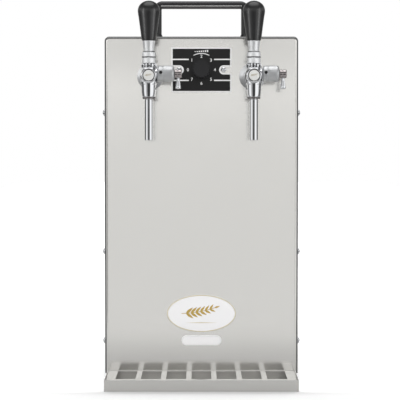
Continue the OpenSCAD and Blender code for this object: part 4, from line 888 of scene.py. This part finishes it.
# %% Tap bodies
SIDE_SIGN = {"left": -1, "right": 1}
UP, DOWN = (0, 0, 1), (0, 0, -1)
FRONT, REAR, RIGHT = (0, -1, 0), (0, 1, 0), (1, 0, 0)
rubber = slot_finish["rubber"]
enamel_disc = moulded_plastic("enamel_disc", (0.70, 0.70, 0.68, 1.0),
                              roughness=0.30, texture=400.0, coat=0.4)
# The mouth ring is painted near black, a painted dark reflection under the lip.
painted_dark_mouth = polished_metal("painted_dark_mouth", (0.20, 0.19, 0.19, 1.0), roughness=0.22, smear=0.08)


def at(side, x=0.0, y=0.0, z=0.0):
    """A point of the frame, from millimetres to the right of, behind and above the tap's centre."""
    return Vector((SIDE_SIGN[side] * TAP_X + x, TAP_Y + y, TAP_Z + z)) * MM


def build_body(side):
    body = bmesh.new()
    spun(body, softened(BODY, EDGE), at(side), UP)
    spun(body, BALL, at(side), UP)
    spun(body, softened(REAR_BOSS, EDGE), at(side), REAR)
    spun(body, CAP_BOSS, at(side, z=BALL_Z), FRONT)
    spun(body, SIDE_BOSS, at(side, z=BARREL_RISE), RIGHT)
    spun(body, RING, at(side), UP, RING_SEGMENTS, notched)
    fitted(shaded(f"{side}_tap_shell", body), chrome, "cabinet", "chrome", f"{side}_tap_body")
    fitted(turned(f"{side}_mouth_ring", softened(LIP, FINE_EDGE), at(side)), painted_dark_mouth, "cabinet", "chrome")
    cap_spot = at(side, y=-CAP_SEAT, z=BALL_Z)
    fitted(turned(f"{side}_cap_cup", softened(CAP, EDGE), cap_spot, FRONT), chrome,
           "cabinet", "chrome", f"{side}_front_cap")
    fitted(turned(f"{side}_cap_seal", softened(CAP_SEAL, THIN_EDGE), cap_spot, FRONT), rubber,
           "cabinet", "rubber")
    fitted(turned(f"{side}_cap_disc", CAP_DISC, cap_spot, FRONT), enamel_disc, "cabinet", "white_enamel")
    fitted(turned(f"{side}_bonnet_dome", softened(BONNET, EDGE), at(side)), pearl_chrome,
           "cabinet", "chrome", f"{side}_bonnet")
    fitted(turned(f"{side}_spout_tube", softened(SPOUT, THIN_EDGE), at(side)), chrome,
           "cabinet", "chrome", f"{side}_spout")
    fitted(turned(f"{side}_ring_gap", RING_GAP, at(side)), rubber, "cabinet", "rubber")


for tap_side in SIDE_SIGN:
    build_body(tap_side)
print("two tap bodies with caps, bonnets and spouts")

# %% [markdown]
# Collar, ferrule, seals and grip ride on the lever's own body, so they turn with it about the ball.

# %% Levers
def build_lever(side):
    handle = f"{side}_handle"
    neck = bmesh.new()
    spun(neck, softened(COLLAR, EDGE), at(side), UP)
    spun(neck, softened(FERRULE, EDGE), at(side), UP)
    fitted(shaded(f"{side}_lever_neck", neck), pearl_chrome, handle, "chrome", f"{side}_lever")
    seals = bmesh.new()
    spun(seals, COLLAR_SEAL, at(side), UP)
    spun(seals, FERRULE_SEAL, at(side), UP)
    fitted(mesh_object(f"{side}_lever_seals", seals), rubber, handle, "rubber")
    fitted(turned(f"{side}_grip_knob", [*curved(GRIP), *GRIP_BASE], at(side)), slot_finish["grip_plastic"],
           handle, "grip_plastic", f"{side}_grip")


for tap_side in SIDE_SIGN:
    build_lever(tap_side)
print("two levers with grips")

# %% [markdown]
# The barrel stands still, while the hub and its small paddle ride on the regulator's arm. The hub is
# nickel plated, a little browner than chrome, and the grub screw is blacked steel.

# %% Regulators
nickel = polished_metal("nickel", (0.46, 0.42, 0.42, 1.0), roughness=0.20, smear=0.08)
blacking = moulded_plastic("blacking", (0.003, 0.003, 0.003, 1.0), roughness=0.55, texture=900.0)


def build_regulator(side):
    arm = f"{side}_regulator_arm"
    barrel_spot = at(side, BARREL_START, 0, BARREL_RISE)
    fitted(turned(f"{side}_barrel", softened(BARREL, FINE_EDGE), barrel_spot, RIGHT, BARREL_SEGMENTS, ribbed),
           satin_chrome, "cabinet", "chrome", f"{side}_regulator")
    grub_spot = at(side, BARREL_START + GRUB_ALONG, -GRUB_OUT, BARREL_RISE + GRUB_RISE)
    fitted(turned(f"{side}_grub_screw", GRUB_SCREW, grub_spot, FRONT, GRUB_SEGMENTS), blacking,
           "cabinet", "black_steel")
    hub_spot = at(side, HUB_START, 0, BARREL_RISE)
    fitted(turned(f"{side}_hub", softened(HUB, FINE_EDGE), hub_spot, RIGHT, HUB_SEGMENTS), nickel,
           arm, "chrome", f"{side}_regulator_lever")
    paddle_spot = at(side, PADDLE_START, 0, BARREL_RISE)
    fitted(turned(f"{side}_paddle", softened(PADDLE, PADDLE_EDGE), paddle_spot, DOWN, PADDLE_SEGMENTS),
           chrome, arm, "chrome")


for tap_side in SIDE_SIGN:
    build_regulator(tap_side)
print("two regulators")

# %% [markdown]
# ## Strip lights for the grips
#
# A black grip shows its round form only by what it mirrors. Two tall strip lights at the front
# left and right draw one soft streak down each side, brightest where the head is widest. They
# light the grips alone, as a photographer would flag them off from the rest.

# %% Strip lights
STRIP_ANGLE = 60
STRIP_DISTANCE = 2.0
STRIP_WIDE, STRIP_HIGH = 0.40, 1.5
STRIP_CENTRE = 0.60
STRIP_WATTS = 8.0
grip_receivers = bpy.data.collections.new("grip_receivers")
for tap_side in SIDE_SIGN:
    grip_receivers.objects.link(bpy.data.objects[f"{tap_side}_grip_knob"])
for strip_side in SIDE_SIGN.values():
    turn = math.radians(STRIP_ANGLE * strip_side)
    strip = linked_card(f"grip_strip_{strip_side}", STRIP_WIDE, STRIP_HIGH, STRIP_WATTS, grip_receivers)
    strip_y = TAP_Y * MM - STRIP_DISTANCE * math.cos(turn)
    strip.location = (STRIP_DISTANCE * math.sin(turn), strip_y, STRIP_CENTRE)
    strip.rotation_euler.z = turn
print("two strip lights at", STRIP_ANGLE, "degrees")

# %% [markdown]
# ## Control plate
#
# The black plate behind the dial is screen printed in white: a border that follows the plate and
# its two notches, two pairs of rules, an arc with growing bars for colder settings, and the
# numbers of the scale. Ink has almost no thickness, so a picture on the plate would be one way.
# Thin raised shapes are used instead, because they stay sharp however close the camera comes.

# %% Raised shapes on the panel
PANEL = panel_y / MM
INK_T = 0.06


def raised(mesh, rings, looped=False):
    """Joins rings of (across, up, out of the panel) points in millimetres into one skin."""
    loops = []
    for ring in rings:
        loops.append([mesh.verts.new(Vector((across, PANEL - out, up)) * MM) for across, up, out in ring])
    pairs = list(zip(loops, loops[1:]))
    if looped:
        pairs.append((loops[-1], loops[0]))
    else:
        mesh.faces.new(loops[0])
        mesh.faces.new(loops[-1])
    for lower, upper in pairs:
        for k in range(len(lower)):
            after = (k + 1) % len(lower)
            mesh.faces.new((lower[k], lower[after], upper[after], upper[k]))


def at_height(outline, out):
    return [(across, up, out) for across, up in outline]


def inked(mesh, outline, surface):
    """A printed shape: its outline raised by the thickness of the ink."""
    raised(mesh, [at_height(outline, surface - INK_T), at_height(outline, surface + INK_T)])


def inked_band(mesh, outer, inner, back, surface):
    """A printed border between two outlines with the same number of points."""
    raised(mesh, [at_height(outer, back), at_height(outer, surface + INK_T),
                  at_height(inner, surface + INK_T), at_height(inner, back)], looped=True)


def arc_points(centre, radius, first, last, steps):
    """Points on an arc, its angles in degrees from the right, anticlockwise."""
    angles = [math.radians(first + (last - first) * k / steps) for k in range(steps + 1)]
    return [(centre[0] + radius * math.cos(a), centre[1] + radius * math.sin(a)) for a in angles]


print("panel face at", round(PANEL, 2), "mm")

# %% [markdown]
# The border is one band between two outlines. Both come from the same function, so they have the
# same number of points, and the inner one is only set in by the width of the line.

# %% Border, rules, arc and bars
plate_low, plate_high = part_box("control_plate")
DIAL_Z = (plate_low.z + plate_high.z) / 2 / MM
PLATE_T = PANEL - plate_low.y / MM
PLATE_W = plate_high.x / MM
PLATE_H = (plate_high.z - plate_low.z) / 2 / MM
LINE_W = 2.1
NOTCH_END = 25.4
NOTCH_HALF = 6.65
NOTCH_X = NOTCH_END + NOTCH_HALF
ARC_STEPS = 16
RULE_RISE = 15.1
RULE_START = 18.2
RULE_HALF = 0.95
SCALE_ARC_R = 24.3
SCALE_ARC_W = 1.2
SCALE_ARC_FROM, SCALE_ARC_TO = 62, 118
INK_GRAIN = 0.02 * MM
BAR_COUNT = 7
BAR_PITCH = 2.95
BAR_W = 1.9
BAR_FOOT = 25.8
BAR_LOW, BAR_HIGH = 0.9, 2.9


def plate_outline(half_w, half_h, notch_half):
    """Outline of the plate with a round-ended notch on either side."""
    right = arc_points((NOTCH_X, 0), notch_half, 90, 270, ARC_STEPS)
    left = [(-across, up) for across, up in reversed(right)]
    corners = [(half_w, half_h), (half_w, notch_half), *right, (half_w, -notch_half), (half_w, -half_h),
               (-half_w, -half_h), (-half_w, -notch_half), *left, (-half_w, notch_half), (-half_w, half_h)]
    return [(across, DIAL_Z + up) for across, up in corners]


def box_outline(x0, x1, up0, up1):
    return [(x0, DIAL_Z + up0), (x1, DIAL_Z + up0), (x1, DIAL_Z + up1), (x0, DIAL_Z + up1)]


prints = bmesh.new()
inked_band(prints, plate_outline(PLATE_W + INK_T, PLATE_H + INK_T, NOTCH_HALF - LINE_W),
           plate_outline(PLATE_W - LINE_W, PLATE_H - LINE_W, NOTCH_HALF), 0.0, PLATE_T)
for rule_side in (-1, 1):
    for rule_up in (-RULE_RISE, RULE_RISE):
        inked(prints, box_outline(rule_side * RULE_START, rule_side * (PLATE_W - LINE_W),
                                  rule_up - RULE_HALF, rule_up + RULE_HALF), PLATE_T)
arc_outer = arc_points((0, DIAL_Z), SCALE_ARC_R, SCALE_ARC_FROM, SCALE_ARC_TO, ARC_STEPS)
arc_inner = arc_points((0, DIAL_Z - SCALE_ARC_W), SCALE_ARC_R, SCALE_ARC_TO, SCALE_ARC_FROM, ARC_STEPS)
inked(prints, arc_outer + arc_inner, PLATE_T)
for bar in range(BAR_COUNT):
    bar_x = (bar - (BAR_COUNT - 1) / 2) * BAR_PITCH
    bar_h = BAR_LOW + (BAR_HIGH - BAR_LOW) * bar / (BAR_COUNT - 1)
    inked(prints, box_outline(bar_x - BAR_W / 2, bar_x + BAR_W / 2, BAR_FOOT, BAR_FOOT + bar_h), PLATE_T)
white_ink = moulded_plastic("white_ink", (0.92, 0.92, 0.90, 1.0),
                            roughness=0.48, texture=1400.0, depth=INK_GRAIN)
fitted(mesh_object("plate_prints", prints, smooth=False), white_ink, "cabinet", "white_enamel")
print("border, four rules, one arc and", BAR_COUNT, "bars")

# %% [markdown]
# The numbers run from 0 on the left, once round the dial in steps of an eighth of a turn. Each is
# a text object from Blender's own font, turned into a mesh so that it is a piece like any other.

# %% Numbers of the dial
DIGITS = 8
FIRST_DIGIT = 180
DIGIT_R = 19.5
DIGIT_SIZE = 6.2
DIGIT_BOLD = 0.12
DIGIT_STEPS = 6
digits = bmesh.new()
for number in range(DIGITS):
    letters = bpy.data.curves.new(f"number_{number}", "FONT")
    letters.body = str(number)
    letters.size = DIGIT_SIZE * MM
    letters.extrude = INK_T * MM
    letters.offset = DIGIT_BOLD * MM
    letters.resolution_u = DIGIT_STEPS
    letters.align_x = "CENTER"
    letters.align_y = "CENTER"
    outline_object = bpy.data.objects.new(f"number_{number}", letters)
    turn = math.radians(FIRST_DIGIT - number * 360 / DIGITS)
    spot = Vector((DIGIT_R * math.cos(turn), PANEL - PLATE_T, DIAL_Z + DIGIT_R * math.sin(turn))) * MM
    letter_mesh = outline_object.to_mesh()
    letter_mesh.transform(Matrix.Translation(spot) @ Matrix.Rotation(math.pi / 2, 4, "X"))
    digits.from_mesh(letter_mesh)
    outline_object.to_mesh_clear()
    bpy.data.objects.remove(outline_object)
fitted(mesh_object("dial_numbers", digits, smooth=False), white_ink, "cabinet", "white_enamel")
print(DIGITS, "numbers round the dial")

# %% [markdown]
# ## Badge and label
#
# Low on the panel sit an oval enamel badge with a gilt rim and a small pill-shaped label. Each is
# a pressed plate with a rolled edge: rings of the outline, each set in a little and lifted a
# little, give that edge without any modifier. The rim is printed in pale gold, which is a paint
# with metal flakes, and the label has only a fine line along its edge.

# %% Plates
badge_low, badge_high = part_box("oval_badge")
label_low, label_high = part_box("pill_label")
BADGE_Z = (badge_low.z + badge_high.z) / 2 / MM
BADGE_HALF_W = badge_high.x / MM
BADGE_HALF_H = (badge_high.z - badge_low.z) / 2 / MM
BADGE_T = PANEL - badge_low.y / MM
LABEL_Z = (label_low.z + label_high.z) / 2 / MM
LABEL_HALF_W = label_high.x / MM
LABEL_HALF_H = (label_high.z - label_low.z) / 2 / MM
OVAL_STEPS = 128
PILL_STEPS = 24
ROLLED_EDGE = [(0.0, 0.0), (0.0, 0.45), (0.12, 0.75), (0.35, 0.93), (0.75, 1.0)]
GILT_RIM = [(0.1, 0.6), (0.3, 1.05), (0.7, 1.2), (1.3, 1.15), (1.6, 0.95)]
LABEL_LINE = [(1.3, 0.9), (1.3, 1.04), (1.7, 1.04), (1.7, 0.9)]


def oval(inset):
    turns = [2 * math.pi * k / OVAL_STEPS for k in range(OVAL_STEPS)]
    half_w = BADGE_HALF_W - inset
    half_h = BADGE_HALF_H - inset
    return [(half_w * math.cos(t), BADGE_Z + half_h * math.sin(t)) for t in turns]


def pill(inset):
    straight = LABEL_HALF_W - LABEL_HALF_H
    right = arc_points((straight, LABEL_Z), LABEL_HALF_H - inset, -90, 90, PILL_STEPS)
    left = arc_points((-straight, LABEL_Z), LABEL_HALF_H - inset, 90, 270, PILL_STEPS)
    return right + left


def pressed(name, outline, profile, looped=False):
    """A plate or a rim: the outline at each (inset, height) of the profile, joined up."""
    mesh = bmesh.new()
    raised(mesh, [at_height(outline(inset), out) for inset, out in profile], looped)
    return shaded(name, mesh)


gold_ink = polished_metal("gold_ink", (0.62, 0.43, 0.11, 1.0), roughness=0.36, smear=0.10, metallic=0.25)
pale_gold = polished_metal("pale_gold", (0.76, 0.69, 0.50, 1.0), roughness=0.36, smear=0.08, metallic=0.2)
pale_grey = moulded_plastic("pale_grey", (0.62, 0.62, 0.61, 1.0), roughness=0.40, texture=900.0)
badge_plate = fitted(pressed("badge_plate", oval, ROLLED_EDGE), slot_finish["white_enamel"],
                     "cabinet", "white_enamel", "oval_badge")
fitted(pressed("badge_rim", oval, GILT_RIM, looped=True), pale_gold, "cabinet", "brass")
label_plate = fitted(pressed("label_plate", pill, ROLLED_EDGE), slot_finish["white_enamel"],
                     "cabinet", "white_enamel", "pill_label")
fitted(pressed("label_line", pill, LABEL_LINE, looped=True), pale_grey, "cabinet", "grey_plastic")
for plate in (badge_plate, label_plate):
    receivers.objects.link(plate)
print("badge", round(2 * BADGE_HALF_W), "mm wide, label", round(2 * LABEL_HALF_W), "mm wide")

# %% [markdown]
# The badge carries one gold sprig: pairs of pointed leaves along an arched stem, smaller towards
# its tip. One leaf outline, turned and placed along the stem, makes all of it, and a tapered rule
# below finishes it. All are thin raised shapes, as the prints on the control plate are. Each shape
# lies a hair above the one before it, because two faces in one plane leave dark specks.

# %% Sprig
LEAF_PAIRS = 6
LEAF_SPACING = 6.8
LEAF_FIRST, LEAF_LAST = 13.0, 8.5
LEAF_SHAPE = 0.30
LEAF_FOOT = 0.72
LEAF_STEPS = 12
LEAF_SPLAY = 38
STEM_START = (-22.0, 0.2)
STEM_RISE = 0.05
STEM_ARCH = 0.0035
STEM_W = 0.9
INK_LAYER = 0.004
RULE_UP = -13.5
RULE_HALF_L = 24.0
RULE_T = 1.3


def pointed(spot, length, degrees):
    """Outline of a leaf: round at its foot and pointed at its tip."""
    lean = math.radians(degrees)
    edge = []
    for side, order in ((1, range(LEAF_STEPS + 1)), (-1, range(LEAF_STEPS - 1, 0, -1))):
        for k in order:
            share = k / LEAF_STEPS
            half = side * length * LEAF_SHAPE / 2 * math.sin(math.pi * share ** LEAF_FOOT)
            edge.append((share * length, half))
    return [(spot[0] + along * math.cos(lean) - off * math.sin(lean),
             spot[1] + along * math.sin(lean) + off * math.cos(lean)) for along, off in edge]


def stem_spot(along):
    """A point of the stem: it rises evenly and bends up towards its tip."""
    return (STEM_START[0] + along, STEM_START[1] + along * STEM_RISE + along * along * STEM_ARCH)


def stem():
    """Outline of the arched stem under the leaves, from its foot to the last leaf."""
    upper = []
    lower = []
    for k in range(-1, LEAF_PAIRS + 1):
        spot = stem_spot(k * LEAF_SPACING)
        upper.append((spot[0], spot[1] + STEM_W / 2))
        lower.append((spot[0], spot[1] - STEM_W / 2))
    return upper + lower[::-1]


def sprig():
    """Outlines of the sprig about its own centre, its tip to the right."""
    shapes = [stem()]
    for k in range(LEAF_PAIRS + 1):
        along = k * LEAF_SPACING
        spot = stem_spot(along)
        heading = math.degrees(math.atan(STEM_RISE + 2 * along * STEM_ARCH))
        length = LEAF_FIRST + (LEAF_LAST - LEAF_FIRST) * k / LEAF_PAIRS
        splays = (LEAF_SPLAY, -LEAF_SPLAY) if k < LEAF_PAIRS else (0,)
        for splay in splays:
            shapes.append(pointed(spot, length, heading + splay))
    return shapes


def at_badge(outline):
    return [(across, BADGE_Z + up) for across, up in outline]


ornament = bmesh.new()
for layer, shape in enumerate(sprig()):
    inked(ornament, at_badge(shape), BADGE_T + layer * INK_LAYER)
fitted(mesh_object("badge_sprig", ornament, smooth=False), gold_ink, "cabinet", "brass")
rule = bmesh.new()
inked(rule, at_badge([(-RULE_HALF_L, RULE_UP), (0, RULE_UP - RULE_T / 2), (RULE_HALF_L, RULE_UP),
                      (0, RULE_UP + RULE_T / 2)]), BADGE_T)
fitted(mesh_object("badge_rule", rule, smooth=False), pale_gold, "cabinet", "brass")
print("a sprig of", LEAF_PAIRS, "pairs of leaves and a rule on the badge")

# %% [markdown]
# A small pale copy of the sprig is printed on each tap's enamel disc. The same outlines serve, only
# scaled and moved to the cap.

# %% Sprigs on the caps
SPRIG_SCALE = 0.20
cap_ink = moulded_plastic("cap_ink", (0.42, 0.38, 0.30, 1.0), roughness=0.40, texture=900.0)
DISC_OUT = PANEL - (TAP_Y - CAP_SEAT - CAP_FACE)
for tap_side, tap_sign in SIDE_SIGN.items():
    small = bmesh.new()
    for layer, shape in enumerate(sprig()):
        printed = [(tap_sign * TAP_X + across * SPRIG_SCALE, TAP_Z + BALL_Z + up * SPRIG_SCALE)
                   for across, up in shape]
        inked(small, printed, DISC_OUT + layer * INK_LAYER)
    fitted(mesh_object(f"{tap_side}_cap_sprig", small, smooth=False), cap_ink, "cabinet", "brass")
print("a sprig on each of", len(SIDE_SIGN), "caps")

# %% [markdown]
# ## Carry handle
#
# The handle is a moulded grip round a flat steel strap. Only the strap's edge shows, as a thin
# bright line along the bar. It is a narrow bar with flat sides that stands a hair out of the
# grip's skin, in front and behind.

# %% Strap edge of the handle
handle_low, handle_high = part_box("carry_handle")
HANDLE_R = 6.0
HANDLE_Z = handle_high.z / MM - HANDLE_R
HANDLE_Y = (handle_low.y + handle_high.y) / 2 / MM
STRAP_DROP = 1.6
STRAP_Z = HANDLE_Z - STRAP_DROP
STRAP_HALF = 0.75
STRAP_FACE = 0.45
STRAP_OUT = 0.25
STRAP_SUNK = 0.6
STRAP_MARGIN = 17.0
STRAP_END = handle_high.x / MM - STRAP_MARGIN


def strap_edge(mesh, facing):
    """One bright edge along the bar: `facing` is -1 for the front and 1 for the rear."""
    skin = math.sqrt(HANDLE_R ** 2 - STRAP_DROP ** 2)
    section = [(skin - STRAP_SUNK, -STRAP_HALF), (skin + STRAP_OUT, -STRAP_FACE),
               (skin + STRAP_OUT, STRAP_FACE), (skin - STRAP_SUNK, STRAP_HALF)]
    rings = []
    for across in (-STRAP_END, STRAP_END):
        corners = [Vector((across, HANDLE_Y + facing * out, STRAP_Z + up)) * MM for out, up in section]
        rings.append([mesh.verts.new(corner) for corner in corners])
    for k in range(len(section)):
        after = (k + 1) % len(section)
        mesh.faces.new((rings[0][k], rings[0][after], rings[1][after], rings[1][k]))
    mesh.faces.new(rings[0])
    mesh.faces.new(rings[1])


strap = bmesh.new()
for strap_side in (-1, 1):
    strap_edge(strap, strap_side)
strap_steel = polished_metal("strap_steel", (0.70, 0.70, 0.69, 1.0),
                             roughness=0.30, smear=0.08, metallic=0.5)
fitted(mesh_object("handle_strap", strap, smooth=False), strap_steel, "cabinet", "steel")
print("strap edge", round(2 * STRAP_END), "mm long at height", round(STRAP_Z, 1))
